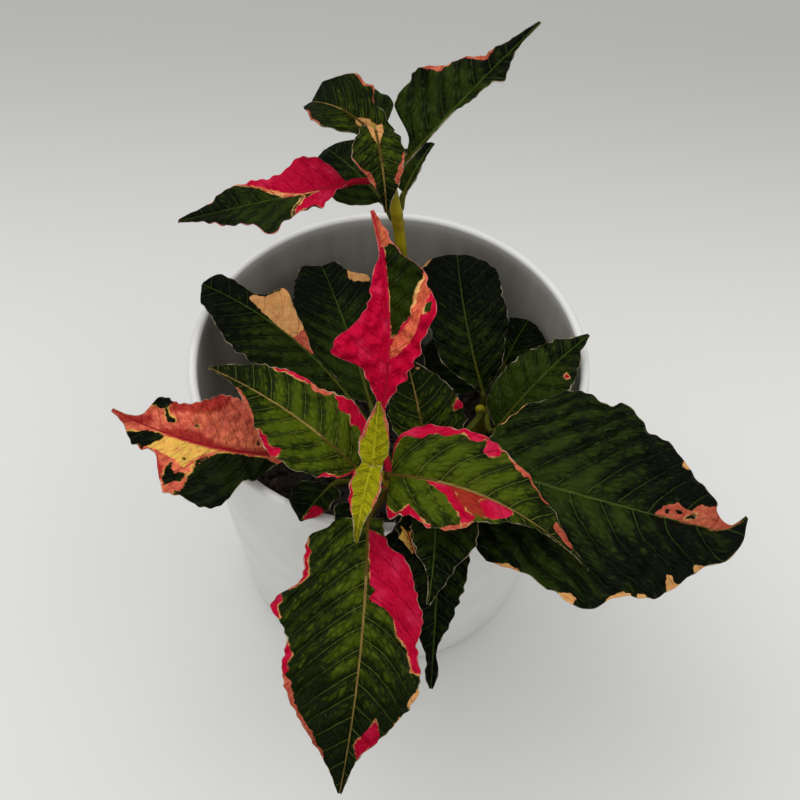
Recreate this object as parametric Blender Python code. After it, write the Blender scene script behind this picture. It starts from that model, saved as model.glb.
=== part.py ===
"""A potted Joseph's coat: a white tapered pot of soil, three stems and their many-coloured leaves.

The origin is the middle of the pot's underside. +Z is up and -Y is the side that the front stem leans to.
Leaf and stem dimensions are in millimetres and are turned into metres where the meshes are made.
"""

from dataclasses import dataclass
from math import cos, hypot, pi, radians, sin

import bmesh
import bpy
from mathutils import Quaternion, Vector, noise

MM = 0.001
SHARP_ANGLE = 40

# The pot, in millimetres
POT_HEIGHT = 114
RIM_RADIUS = 65
BASE_RADIUS = 54.5
WALL = 3.2
FLOOR = 3
RIM_ROUNDING = 1.5
BASE_ROUNDING = 2.5
POT_SIDES = 72
ROUNDING_STEPS = 4

# The soil, in millimetres
SOIL_TOP = 55
SOIL_RELIEF = 2.5
SOIL_LUMP = 13
SOIL_RINGS = 6
SOIL_SIDES = 36
GAP = 0.3

# The stems, in millimetres
STEM_FOOT = 40
STEM_THICK = 2.5
STEM_THIN = 1.5
STEM_SIDES = 10
STEM_STEP = 7
STEM_TIP_RINGS = ((0.7, 0.8), (1.2, 0.4))
HOLE_SIDES = 16

# The leaves, in millimetres
STALK_HALF_WIDTH = 1.0
STALK_GAP = 0.45
STALK_THICK = 1.5
BLADE_THICK = 0.75
RIB_THICK = 1.0
STALK_ROWS = 4
TIP_HALF_WIDTH = 0.5
HOOK_START = 0.9
LEAF_PHASE = 0.37
SIDE_PHASE = 0.4

DARK_GREEN = (0.012, 0.035, 0.008)
MID_GREEN = (0.045, 0.12, 0.02)
OLIVE = (0.09, 0.12, 0.015)
YELLOW_GREEN = (0.3, 0.36, 0.03)
CRIMSON = (0.55, 0.005, 0.05)
SALMON = (0.62, 0.2, 0.12)
WHITE_PLASTIC = (0.78, 0.78, 0.76)
DARK_SOIL = (0.02, 0.014, 0.01)
STEM_OLIVE = (0.16, 0.13, 0.02)
STEM_TAN = (0.3, 0.2, 0.08)


@dataclass
class Stem:
    """A stem: the points that its centre line passes through, lowest first."""

    name: str
    points: tuple
    colour: tuple


@dataclass
class Leaf:
    """One leaf: its stalk runs from the stem to the blade's base, and its blade from there to the tip.

    Left and right are as seen from the stem, looking along the leaf. Each margin holds points as
    (distance along the rib, distance out from it). A pair holds left, then right.
    """

    name: str
    stem: Stem
    height: float
    base: tuple
    tip: tuple
    arch: float
    bend: float
    left: tuple
    right: tuple
    folds: tuple = (10, 10)
    rolls: tuple = (0, 0)
    hook: float = 0
    bow: float = 0.4
    waves: int = 3
    wave: float = 0.05
    rows: int = 12
    columns: int = 6
    colour: tuple = DARK_GREEN


FRONT = Stem("stem_front", ((9, -38, 58), (8, -43, 85), (4, -50, 112), (-4, -57, 134)), STEM_TAN)
BACK = Stem("stem_back", ((8, 20, 58), (4, 31, 100), (2, 34, 134), (-7, 38, 176)), STEM_OLIVE)
RIGHT = Stem("stem_right", ((33, 10, 58), (33, 5, 74), (31, -4, 92)), STEM_TAN)
STEMS = (FRONT, BACK, RIGHT)

LEAVES = (
    Leaf("leaf_front_bud_up", FRONT, 132, base=(-3, -54.5, 137.4), tip=(-2, -41, 145), arch=1, bend=0, bow=0,
         left=((1, 4.5), (3, 5), (8, 3.5), (13, 1.5)), right=((1, 4.5), (3, 5), (8, 4), (13, 2)), folds=(25, 25), rows=8, columns=4,
         colour=YELLOW_GREEN),
    Leaf("leaf_front_bud_down", FRONT, 132, base=(-4, -61, 136.4), tip=(-7, -76, 125), arch=3, bend=0, bow=0,
         left=((1, 4.5), (4, 5), (8, 4), (13, 2)), right=((1, 4.5), (4, 5), (8, 4), (13, 2)), folds=(25, 25), rows=8,
         columns=4, colour=YELLOW_GREEN),
    Leaf("leaf_front_young_left", FRONT, 127, base=(-8, -54, 130), tip=(-51, -34, 149), arch=3, bend=1,
         left=((1, 5), (5, 10), (11, 14), (18, 17), (25, 15), (30, 13), (34, 9), (40, 4), (46, 1)),
         right=((2, 7), (6, 13), (11, 14), (17, 13), (25, 11), (34, 10), (40, 7), (46, 4)), folds=(12, 12),
         waves=4, rows=14, colour=MID_GREEN),
    Leaf("leaf_front_young_right", FRONT, 127, base=(2, -56, 130), tip=(59, -80, 121), arch=7, bend=-3,
         left=((1, 9), (4, 13), (10, 16), (18, 16), (26, 16), (33, 13), (43, 10), (52, 5), (60, 2)),
         right=((1, 10), (3, 14), (6, 13), (12, 14), (17, 17), (21, 17), (26, 16), (29, 13), (34, 10),
                (42, 5), (52, 2)),
         folds=(18, 14), rolls=(-25, 45), waves=4, rows=14, colour=MID_GREEN),
    Leaf("leaf_front_pink_up", FRONT, 119, base=(-1, -32, 130), tip=(-6, 6, 174), arch=2, bend=3,
         left=((3, 3), (10, 7), (13, 9), (17, 17), (22, 17), (27, 10), (34, 6), (41, 4), (46, 1)),
         right=((3, 2), (9, 6), (17, 11), (24, 13), (30, 17), (35, 15), (41, 13), (45, 7), (50, 4), (55, 2)),
         folds=(20, 40), rolls=(10, -10), rows=16, colour=CRIMSON),
    Leaf("leaf_front_hanging", FRONT, 118, base=(-4, -69, 121), tip=(-9, -135, 88), arch=6, bend=-2,
         left=((5, 6), (10, 12), (20, 15), (26, 17), (33, 16), (42, 18), (47, 17), (52, 13), (60, 7),
               (66, 3)),
         right=((1, 12), (3, 16), (10, 18), (17, 19), (24, 26), (31, 22), (36, 21), (43, 21), (50, 19),
                (60, 11), (68, 5)),
         folds=(12, 12), waves=4, rows=18, colour=MID_GREEN),
    Leaf("leaf_front_orange_left", FRONT, 103, base=(-29, -41, 116), tip=(-80, -40, 135), arch=3, bend=-6,
         left=((6, 4), (11, 8), (16, 10), (21, 18), (26, 19), (31, 17), (35, 18), (38, 12), (41, 7),
               (47, 7), (51, 3)),
         right=((4, 6), (12, 13), (20, 16), (25, 16), (30, 13), (38, 10), (46, 9), (48, 3), (51, 1)),
         folds=(-10, 25), rows=16, colour=SALMON),
    Leaf("leaf_front_green_up", FRONT, 104, base=(13, -34, 109), tip=(5, -6, 124), arch=2, bend=0,
         left=((3, 5), (8, 9), (14, 10), (22, 8), (29, 3)),
         right=((2, 6), (5, 12), (8, 14), (17, 12), (22, 9), (26, 5), (30, 2)), rows=9, columns=4,
         colour=MID_GREEN),
    Leaf("leaf_front_dark_short", FRONT, 109, base=(15, -52, 115), tip=(14, -89, 114), arch=5, bend=-1,
         left=((4, 7), (10, 12), (22, 12), (27, 8), (33, 4)),
         right=((4, 5), (10, 7), (18, 7), (24, 6), (28, 3), (33, 1)), folds=(15, 15), rows=10, columns=4),
    Leaf("leaf_front_dark_long", FRONT, 95, base=(17, -66, 116), tip=(16, -103, 88), arch=4, bend=0,
         left=((3, 8), (7, 9), (16, 8), (25, 5), (35, 1), (42, 2)),
         right=((1, 14), (4, 17), (8, 17), (13, 14), (20, 10), (30, 5), (38, 2), (43, 2)), rows=12, columns=4),
    Leaf("leaf_front_dark_middle", FRONT, 111, base=(-6, -57, 116), tip=(-9, -72, 118), arch=1, bend=0,
         left=((3, 4), (7, 5), (12, 3)), right=((3, 6), (8, 7), (13, 4)), rows=7, columns=4),
    Leaf("leaf_front_dark_left", FRONT, 107, base=(-16, -49, 112), tip=(-24, -64, 116), arch=1, bend=0,
         left=((3, 5), (9, 5), (14, 4)), right=((3, 5), (8, 8), (14, 6)), rows=7, columns=4),
    Leaf("leaf_front_small_orange", FRONT, 101, base=(5.8, -61, 116), tip=(9.5, -74.5, 117.6), arch=1, bend=0,
         left=((3, 3), (8, 3.5), (11, 2)), right=((3, 3), (8, 3), (11, 2)), rows=7, columns=4,
         colour=SALMON),
    Leaf("leaf_front_over_left_rim", FRONT, 97, base=(-14, -6, 101), tip=(-62, 20, 123), arch=4, bend=2,
         left=((2, 6), (8, 13), (18, 19), (28, 20), (38, 19), (48, 14), (56, 8)),
         right=((16, 1), (24, 5), (31, 9), (37, 12), (40, 7), (46, 5), (52, 6), (57, 5)),
         folds=(15, 15), rows=16),
    Leaf("leaf_front_inner_left", FRONT, 90, base=(-6, -5, 95), tip=(-25, 46, 105), arch=4, bend=0,
         left=((4, 9), (12, 14), (20, 16), (36, 16), (46, 13), (54, 9), (57, 5)),
         right=((4, 9), (10, 13), (20, 15), (28, 16), (38, 14), (45, 13), (48, 9), (51, 7), (56, 4)),
         rows=14),
    Leaf("leaf_right_large", RIGHT, 92, base=(24, -42, 118), tip=(105, -66, 119), arch=3, bend=3,
         left=((2, 6), (6, 15), (10, 22), (15, 26), (20, 32), (27, 33), (35, 32), (42, 33), (50, 28),
               (58, 25), (64, 19), (70, 15), (77, 8), (81, 1)),
         right=((2, 8), (6, 14), (12, 23), (18, 29), (25, 29), (30, 28), (36, 32), (46, 33), (52, 29),
                (58, 27), (64, 24), (70, 18), (76, 12), (80, 7), (83, 3)),
         folds=(8, -8), hook=-7, bow=0.15, waves=5, rows=20),
    Leaf("leaf_right_over_rim", RIGHT, 90, base=(36, -15, 97), tip=(64, 6, 121), arch=3, bend=0,
         left=((3, 7), (6, 9), (12, 11), (20, 10), (26, 9), (33, 6), (38, 3)),
         right=((3, 6), (10, 12), (22, 13), (30, 10), (37, 4)), folds=(12, 12), rows=11),
    Leaf("leaf_right_inner", RIGHT, 84, base=(32, 4, 91), tip=(22, 46, 113), arch=4, bend=-2,
         left=((5, 5), (12, 11), (22, 13), (30, 16), (40, 15), (46, 11), (49, 4)),
         right=((3, 5), (8, 9), (16, 12), (22, 14), (32, 14), (40, 13), (46, 9), (49, 3)), rows=12),
    Leaf("leaf_right_under", RIGHT, 70, base=(32, 14, 80), tip=(14, 31, 84), arch=2, bend=0,
         left=((2, 8), (6, 12), (12, 14), (20, 9), (24, 4)), right=((3, 8), (9, 12), (16, 11), (22, 6)),
         rows=8, columns=4),
    Leaf("leaf_right_rear", RIGHT, 76, base=(38, 16, 82), tip=(48, 33, 95), arch=3, bend=0,
         left=((3, 9), (9, 15), (16, 14), (21, 8)), right=((3, 9), (7, 13), (13, 15), (19, 11), (23, 5)),
         folds=(12, 12), rows=8, columns=4),
    Leaf("leaf_back_young_left", BACK, 170, base=(-10.7, 38.6, 178), tip=(-26, 45, 180), arch=2, bend=0, bow=0,
         left=((1, 8), (4, 11), (8, 13), (11, 12), (14, 9), (17, 5)),
         right=((1, 9), (3, 12), (7, 13), (11, 12), (14, 9), (17, 6)),
         folds=(15, 15), rows=9, columns=4, colour=OLIVE),
    Leaf("leaf_back_young_front", BACK, 170, base=(-6, 34.5, 178), tip=(-2, 17, 162), arch=4, bend=0, bow=0.1,
         left=((1, 5), (4, 7), (9, 7), (16, 5), (22, 2)), right=((1, 6), (5, 9), (10, 9), (13, 6), (18, 3)),
         folds=(20, 20), rows=9, columns=4, colour=OLIVE),
    Leaf("leaf_back_young_rear", BACK, 170, base=(-4, 44, 172), tip=(-19, 60, 176), arch=2, bend=0,
         left=((3, 7), (8, 9), (16, 7), (20, 3)),
         right=((3, 6), (6, 7), (13, 5), (19, 2)), rows=8, columns=4),
    Leaf("leaf_back_long_right", BACK, 158, base=(2, 32, 167), tip=(41, 54, 205), arch=1, bend=0,
         left=((4, 2), (8, 5), (11, 14), (15, 16), (23, 17), (30, 12), (36, 9), (40, 5), (45, 4), (52, 2)),
         right=((10, 1), (22, 1), (30, 4), (37, 5), (41, 8), (44, 5), (48, 3), (52, 1)), folds=(20, 20),
         waves=4, rows=16),
    Leaf("leaf_back_long_left", BACK, 158, base=(-15, 30, 161), tip=(-67, 22, 150), arch=4, bend=-4,
         left=((3, 3), (7, 6), (10, 10), (13, 9), (18, 12), (25, 17), (29, 12), (35, 9), (42, 5), (50, 2)),
         right=((2, 6), (6, 12), (12, 12), (18, 9), (24, 8), (30, 8), (36, 8), (43, 4), (50, 2)),
         folds=(12, 12), waves=4, rows=16, colour=CRIMSON),
    Leaf("leaf_back_low_left", BACK, 140, base=(-4, 40, 144), tip=(-23, 58, 149), arch=2, bend=0,
         left=((2, 8), (8, 15), (16, 15), (24, 8)), right=((3, 8), (8, 11), (13, 12), (20, 10), (25, 5)),
         rows=9, columns=4),
    Leaf("leaf_back_low_right", BACK, 144, base=(3, 40, 148), tip=(12, 57, 154), arch=2, bend=0,
         left=((3, 7), (10, 8), (16, 4)), right=((5, 2), (15, 1)), rows=8, columns=4),
)


def clear_scene():
    for obj in list(bpy.data.objects):
        bpy.data.objects.remove(obj)


def material(name, colour, roughness):
    made = bpy.data.materials.new(name)
    made.use_nodes = True
    shader = made.node_tree.nodes["Principled BSDF"]
    shader.inputs["Base Color"].default_value = (*colour, 1)
    shader.inputs["Roughness"].default_value = roughness
    shader.inputs["Metallic"].default_value = 0
    return made


def mesh_object(name, points, faces, finish, parent, place=Vector((0, 0, 0))):
    """An object whose mesh holds these points, given in millimetres from its own origin at place."""
    mesh = bpy.data.meshes.new(name)
    mesh.from_pydata([tuple(Vector(point) * MM) for point in points], [], faces)
    bm = bmesh.new()
    bm.from_mesh(mesh)
    bmesh.ops.recalc_face_normals(bm, faces=bm.faces)
    bm.to_mesh(mesh)
    bm.free()
    mesh.shade_smooth()
    mesh.set_sharp_from_angle(angle=radians(SHARP_ANGLE))
    mesh.materials.append(finish)
    obj = bpy.data.objects.new(name, mesh)
    bpy.context.scene.collection.objects.link(obj)
    obj.parent = parent
    obj.location = place * MM
    return obj


def turned(profile, sides):
    """Points and faces of a body turned round Z from (radius, height) pairs, closed at both ends."""
    points = [(0, 0, profile[0][1])]
    for radius, height in profile[1:-1]:
        for side in range(sides):
            angle = 2 * pi * side / sides
            points.append((radius * cos(angle), radius * sin(angle), height))
    points.append((0, 0, profile[-1][1]))
    last = len(points) - 1
    rings = len(profile) - 2
    faces = []
    for side in range(sides):
        after = (side + 1) % sides
        faces.append((0, 1 + after, 1 + side))
        for ring in range(rings - 1):
            low = 1 + ring * sides
            high = low + sides
            faces.append((low + side, low + after, high + after, high + side))
        top = 1 + (rings - 1) * sides
        faces.append((top + side, top + after, last))
    return points, faces


def rounding(middle_radius, middle_height, size, first_angle, last_angle):
    """Points of a rounded corner in the (radius, height) plane."""
    corner = []
    for step in range(ROUNDING_STEPS + 1):
        angle = radians(first_angle + (last_angle - first_angle) * step / ROUNDING_STEPS)
        corner.append((middle_radius + size * cos(angle), middle_height + size * sin(angle)))
    return corner


def inner_radius(height):
    """Radius of the pot's inner wall at this height."""
    share = height / POT_HEIGHT
    return BASE_RADIUS + (RIM_RADIUS - BASE_RADIUS) * share - WALL


def make_pot(parent):
    outer = RIM_RADIUS - RIM_ROUNDING
    inner = RIM_RADIUS - WALL + RIM_ROUNDING
    profile = [(0, 0)]
    profile += rounding(BASE_RADIUS - BASE_ROUNDING, BASE_ROUNDING, BASE_ROUNDING, -90, 0)
    profile += rounding(outer, POT_HEIGHT - RIM_ROUNDING, RIM_ROUNDING, 0, 90)
    profile += rounding(inner, POT_HEIGHT - RIM_ROUNDING, RIM_ROUNDING, 90, 180)
    profile += [(inner_radius(FLOOR), FLOOR), (0, FLOOR)]
    points, faces = turned(profile, POT_SIDES)
    return mesh_object("pot", points, faces, material("pot_white", WHITE_PLASTIC, 0.45), parent)


def stem_centre(stem, height):
    """The stem's centre line at this height, by the polynomial through its points, upright in the soil."""
    level = max(height, stem.points[0][2])
    x = 0
    y = 0
    for px, py, pz in stem.points:
        weight = 1
        for other in stem.points:
            if other[2] != pz:
                weight *= (level - other[2]) / (pz - other[2])
        x += weight * px
        y += weight * py
    return Vector((x, y, height))


def stem_radius(stem, height):
    foot = stem.points[0][2]
    top = stem.points[-1][2]
    share = min(1, max(0, (height - foot) / (top - foot)))
    return STEM_THICK + (STEM_THIN - STEM_THICK) * share


def make_stem(stem, parent):
    """A tapering stem of rings from its foot in the soil to a rounded tip."""
    foot = stem_centre(stem, STEM_FOOT)
    top = stem.points[-1][2]
    steps = round((top - STEM_FOOT) / STEM_STEP)
    rings = []
    for step in range(steps + 1):
        height = STEM_FOOT + (top - STEM_FOOT) * step / steps
        rings.append((stem_centre(stem, height), stem_radius(stem, height)))
    for lift, share in STEM_TIP_RINGS:
        rings.append((stem_centre(stem, top) + Vector((0, 0, lift)), STEM_THIN * share))
    points = []
    for centre, radius in rings:
        for side in range(STEM_SIDES):
            angle = 2 * pi * side / STEM_SIDES
            points.append(centre - foot + radius * Vector((cos(angle), sin(angle), 0)))
    faces = []
    for ring in range(len(rings) - 1):
        for side in range(STEM_SIDES):
            after = (side + 1) % STEM_SIDES
            low = ring * STEM_SIDES
            high = low + STEM_SIDES
            faces.append((low + side, low + after, high + after, high + side))
    faces.append(tuple(reversed(range(STEM_SIDES))))
    faces.append(tuple(range(len(points) - STEM_SIDES, len(points))))
    return mesh_object(stem.name, points, faces, material(stem.name, stem.colour, 0.5), parent, foot)


def cut_stem_hole(soil, stem, parent):
    """A plain round hole in the soil, GAP wider and deeper than the stem that stands in it."""
    radius = (STEM_THICK + GAP) / cos(pi / HOLE_SIDES)
    bottom = STEM_FOOT - GAP
    top = SOIL_TOP + 3 * SOIL_RELIEF
    profile = [(0, bottom), (radius, bottom), (radius, top), (0, top)]
    points, faces = turned(profile, HOLE_SIDES)
    foot = stem_centre(stem, 0)
    cutter = mesh_object("hole_" + stem.name, points, faces, material("hole", DARK_SOIL, 1), parent, foot)
    cutter.hide_render = True
    cutter.display_type = "WIRE"
    cut = soil.modifiers.new("hole_" + stem.name, "BOOLEAN")
    cut.operation = "DIFFERENCE"
    cut.object = cutter


def make_soil(parent):
    """Soil that fills the pot up to its uneven top, with a plain hole for each stem."""
    profile = [(0, FLOOR + GAP), (inner_radius(FLOOR + GAP) - GAP, FLOOR + GAP)]
    for ring in range(SOIL_RINGS):
        share = 1 - ring / SOIL_RINGS
        profile.append(((inner_radius(SOIL_TOP) - 2 * GAP) * share, SOIL_TOP))
    profile.append((0, SOIL_TOP))
    points, faces = turned(profile, SOIL_SIDES)
    uneven = []
    for x, y, z in points:
        inside = 1 - (hypot(x, y) / inner_radius(SOIL_TOP)) ** 2
        if z == SOIL_TOP:
            z += SOIL_RELIEF * (noise.noise(Vector((x, y, 0)) / SOIL_LUMP) + inside - 1)
        uneven.append((x, y, z))
    soil = mesh_object("soil", uneven, faces, material("soil", DARK_SOIL, 0.95), parent)
    for stem in STEMS:
        cut_stem_hole(soil, stem, parent)
    return soil


def curve_point(first, middle, last, share):
    """A point on the quadratic curve from first to last that middle pulls."""
    rest = 1 - share
    return rest * rest * first + 2 * rest * share * middle + share * share * last


def smooth_through(points, along):
    """Height at this distance of the smooth curve through (distance, height) points."""
    index = 0
    while index < len(points) - 2 and along > points[index + 1][0]:
        index += 1
    first = points[index]
    second = points[index + 1]
    before = points[max(index - 1, 0)]
    after = points[min(index + 2, len(points) - 1)]
    span = second[0] - first[0]
    rise = second[1] - first[1]
    slope_in = (second[1] - before[1]) / (second[0] - before[0])
    slope_out = (after[1] - first[1]) / (after[0] - first[0])
    part = (along - first[0]) / span
    swell_in = slope_in * span - rise
    swell_out = rise - slope_out * span
    return first[1] + rise * part + part * (1 - part) * ((1 - part) * swell_in + part * swell_out)


def leaf_start(leaf):
    """Where the stalk leaves the stem: just clear of its bark, on the side that faces the blade.

    A stalk that rises along the stem also stands off by its half width, so that its side clears the bark.
    """
    centre = stem_centre(leaf.stem, leaf.height)
    axis = (stem_centre(leaf.stem, leaf.height + 1) - centre).normalized()
    towards = Vector(leaf.base) - centre
    outward = (towards - towards.dot(axis) * axis).normalized()
    lean = abs(towards.normalized().dot(axis))
    return centre + outward * (stem_radius(leaf.stem, leaf.height) + STALK_HALF_WIDTH * lean + STALK_GAP)


def leaf_rows(leaf):
    """The leaf's middle line: for each row its place, share of the blade and two frame directions."""
    start = leaf_start(leaf)
    base = Vector(leaf.base)
    tip = Vector(leaf.tip)
    chord = tip - base
    sideways = chord.cross(Vector((0, 0, 1))).normalized()
    upward = sideways.cross(chord.normalized())
    middle = base + chord / 2 + 2 * leaf.arch * upward + 2 * leaf.bend * sideways
    reach = (base - start).length
    stalk_middle = base - (middle - base).normalized() * reach * leaf.bow
    places = []
    for row in range(STALK_ROWS):
        places.append((curve_point(start, stalk_middle, base, row / STALK_ROWS), 0))
    for row in range(leaf.rows + 1):
        share = row / leaf.rows
        hooked = max(0, share - HOOK_START) / (1 - HOOK_START)
        place = curve_point(base, middle, tip, share) + sideways * leaf.hook * hooked * hooked
        places.append((place, share))
    rows = []
    for index, (place, share) in enumerate(places):
        before = places[max(index - 1, 0)][0]
        after = places[min(index + 1, len(places) - 1)][0]
        ahead = (after - before).normalized()
        across = (sideways - sideways.dot(ahead) * ahead).normalized()
        roll = radians(leaf.rolls[0] + (leaf.rolls[1] - leaf.rolls[0]) * share)
        across = Quaternion(ahead, -roll) @ across
        rows.append((place, share, across, across.cross(ahead)))
    return rows


def blade_length(leaf):
    """Length of the blade's rib, taken as an arc of its chord and its arch."""
    chord = (Vector(leaf.tip) - Vector(leaf.base)).length
    rise = hypot(leaf.arch, leaf.bend)
    return chord + 8 * rise * rise / (3 * chord)


def half_width(leaf, side, share):
    """How far the left (0) or right (1) margin lies from the rib at this share of the blade."""
    length = blade_length(leaf)
    margin = (leaf.left, leaf.right)[side]
    points = ((0, STALK_HALF_WIDTH), *margin, (length, TIP_HALF_WIDTH))
    least = STALK_HALF_WIDTH + (TIP_HALF_WIDTH - STALK_HALF_WIDTH) * share
    return max(least, smooth_through(points, share * length))


def blade_offset(leaf, phase, share, across):
    """How far a blade point lies to the side of the rib, and how far above it."""
    side = 0 if across < 0 else 1
    half = half_width(leaf, side, share)
    reach = abs(across)
    fold = radians(leaf.folds[side])
    turn = 2 * pi * (leaf.waves * share + phase + SIDE_PHASE * side)
    lift = half * reach * (sin(fold) + leaf.wave * reach * sin(turn))
    return half * across * cos(fold), lift


def leaf_grid(leaf, phase):
    """The leaf's middle surface, as rows of points from the stem to the tip."""
    grid = []
    for place, share, across, above in leaf_rows(leaf):
        row = []
        for column in range(leaf.columns + 1):
            offset, lift = blade_offset(leaf, phase, share, 2 * column / leaf.columns - 1)
            row.append(place + across * offset + above * lift)
        grid.append(row)
    return grid


def grid_normal(grid, row, column):
    last_row = len(grid) - 1
    last_column = len(grid[0]) - 1
    along = grid[min(row + 1, last_row)][column] - grid[max(row - 1, 0)][column]
    over = grid[row][min(column + 1, last_column)] - grid[row][max(column - 1, 0)]
    return over.cross(along).normalized()


def half_thickness(leaf, row, column):
    """Thick along the stalk, less so along the rib and thin at the edge."""
    if row < STALK_ROWS:
        return STALK_THICK / 2
    rib = 1 - abs(2 * column / leaf.columns - 1)
    return (BLADE_THICK + (RIB_THICK - BLADE_THICK) * rib) / 2


def rim_walk(rows, columns):
    """The indices round the edge of a grid of points, in order."""
    walk = [column for column in range(columns)]
    walk += [row * columns + columns - 1 for row in range(1, rows)]
    walk += [(rows - 1) * columns + column for column in range(columns - 2, -1, -1)]
    walk += [row * columns for row in range(rows - 2, 0, -1)]
    return walk


def make_leaf(leaf, index, parent):
    """A closed thin solid: the same triangles on both faces of the leaf, and a strip round its edge."""
    grid = leaf_grid(leaf, LEAF_PHASE * index)
    start = leaf_start(leaf)
    rows = len(grid)
    columns = leaf.columns + 1
    upper = []
    lower = []
    for row in range(rows):
        for column in range(columns):
            away = grid_normal(grid, row, column) * half_thickness(leaf, row, column)
            upper.append(grid[row][column] + away - start)
            lower.append(grid[row][column] - away - start)
    under = len(upper)
    faces = []
    for row in range(rows - 1):
        for column in range(columns - 1):
            near = row * columns + column
            far = near + columns
            for corners in ((near, near + 1, far), (near + 1, far + 1, far)):
                faces.append(corners)
                faces.append(tuple(under + corner for corner in reversed(corners)))
    walk = rim_walk(rows, columns)
    for first, second in zip(walk, walk[1:] + walk[:1]):
        faces.append((first, under + first, second))
        faces.append((second, under + first, under + second))
    finish = material(leaf.name, leaf.colour, 0.45)
    return mesh_object(leaf.name, upper + lower, faces, finish, parent, start)


def main():
    clear_scene()
    plant = bpy.data.objects.new("potted_plant", None)
    bpy.context.scene.collection.objects.link(plant)
    make_pot(plant)
    make_soil(plant)
    for stem in STEMS:
        make_stem(stem, plant)
    for index, leaf in enumerate(LEAVES):
        make_leaf(leaf, index, plant)


main()
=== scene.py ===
# %% [markdown]
# # A potted Joseph's coat
#
# This lesson dresses a plain solid model of a young house plant: a tapered white pot of soil, three
# stems and twenty-seven leaves in green, crimson, pink, salmon and cream. The solid model holds every
# place and size. Each step here makes one kind of piece fine enough to look at from close by.
#
# Lengths are written in millimetres and turned into metres where a mesh is made.

from dataclasses import dataclass
from math import cos, pi, radians, sin

import bpy
import numpy as np
from mathutils import Matrix, Vector, noise


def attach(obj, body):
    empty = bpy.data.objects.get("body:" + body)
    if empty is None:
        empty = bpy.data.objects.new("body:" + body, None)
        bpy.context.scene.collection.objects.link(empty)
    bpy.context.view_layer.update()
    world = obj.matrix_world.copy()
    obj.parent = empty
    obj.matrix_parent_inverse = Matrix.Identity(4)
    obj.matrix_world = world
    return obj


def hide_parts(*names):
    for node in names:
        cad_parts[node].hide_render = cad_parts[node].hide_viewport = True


MM = 0.001
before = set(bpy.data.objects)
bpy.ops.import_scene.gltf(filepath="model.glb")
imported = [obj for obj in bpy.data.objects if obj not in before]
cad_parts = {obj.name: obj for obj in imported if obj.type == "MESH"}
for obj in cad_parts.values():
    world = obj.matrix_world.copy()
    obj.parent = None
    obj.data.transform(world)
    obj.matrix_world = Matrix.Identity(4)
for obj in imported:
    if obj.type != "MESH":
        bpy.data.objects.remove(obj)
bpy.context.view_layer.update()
print("solid pieces:", len(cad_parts))

# %% [markdown]
# ## The camera
#
# The plant is seen from above and in front, about 54 degrees above the floor, from about 0.4 metres
# away. A camera can be aimed with a constraint or by hand. Here its three directions are worked out
# from that angle and a small roll, which keeps the framing in three plain numbers.

# %% Camera
CAMERA_LENS = 58.5
CAMERA_SENSOR = 36
CAMERA_ELEVATION = 53.8
CAMERA_ROLL = 2.0
CAMERA_DISTANCE = 410
CAMERA_AIM = (4.0, -17.6, 114)


def make_camera():
    elevation = radians(CAMERA_ELEVATION)
    roll = radians(CAMERA_ROLL)
    back = Vector((0, -cos(elevation), sin(elevation)))
    level = Vector((1, 0, 0))
    raised = back.cross(level)
    right = cos(roll) * level + sin(roll) * raised
    up = cos(roll) * raised - sin(roll) * level
    data = bpy.data.cameras.new("plant_camera")
    data.lens = CAMERA_LENS
    data.sensor_width = CAMERA_SENSOR
    camera = bpy.data.objects.new("plant_camera", data)
    bpy.context.scene.collection.objects.link(camera)
    place = (Vector(CAMERA_AIM) + back * CAMERA_DISTANCE) * MM
    camera.matrix_world = Matrix.LocRotScale(place, Matrix((right, up, back)).transposed(), None)
    bpy.context.scene.camera = camera
    return camera


camera = make_camera()
print("camera at", tuple(round(value, 3) for value in camera.location))

# %% [markdown]
# ## Tools for meshes
#
# Every fine piece is a grid of points joined by faces. These helpers turn numbers in millimetres into
# a mesh object, hand values to the materials as point attributes, and hide the solid it stands for.

# %% Mesh tools


def new_piece(name, points, faces, finish, node, sharp=35):
    """An object from points in millimetres and faces, which stands for a solid of the model."""
    mesh = bpy.data.meshes.new(name)
    mesh.from_pydata((np.asarray(points, float) * MM).tolist(), [], faces)
    mesh.shade_smooth()
    mesh.set_sharp_from_angle(angle=radians(sharp))
    mesh.materials.append(finish)
    piece = bpy.data.objects.new(name, mesh)
    bpy.context.scene.collection.objects.link(piece)
    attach(piece, "root")
    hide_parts(node)
    return piece


def set_values(piece, name, values):
    """One number for each point of the piece, which a material reads by this name."""
    attribute = piece.data.attributes.new(name, "FLOAT", "POINT")
    attribute.data.foreach_set("value", np.asarray(values, np.float32))


def set_places(piece, name, places):
    attribute = piece.data.attributes.new(name, "FLOAT_VECTOR", "POINT")
    attribute.data.foreach_set("vector", np.asarray(places, np.float32).ravel())


def grid_faces(rows, columns, first=0, closed=False, turned=False):
    """Four-sided faces between rows of points. A closed grid also joins its last column to its first."""
    faces = []
    for row in range(rows - 1):
        for column in range(columns if closed else columns - 1):
            after = (column + 1) % columns
            low = first + row * columns
            high = low + columns
            corners = (low + column, low + after, high + after, high + column)
            faces.append(corners[::-1] if turned else corners)
    return faces


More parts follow.
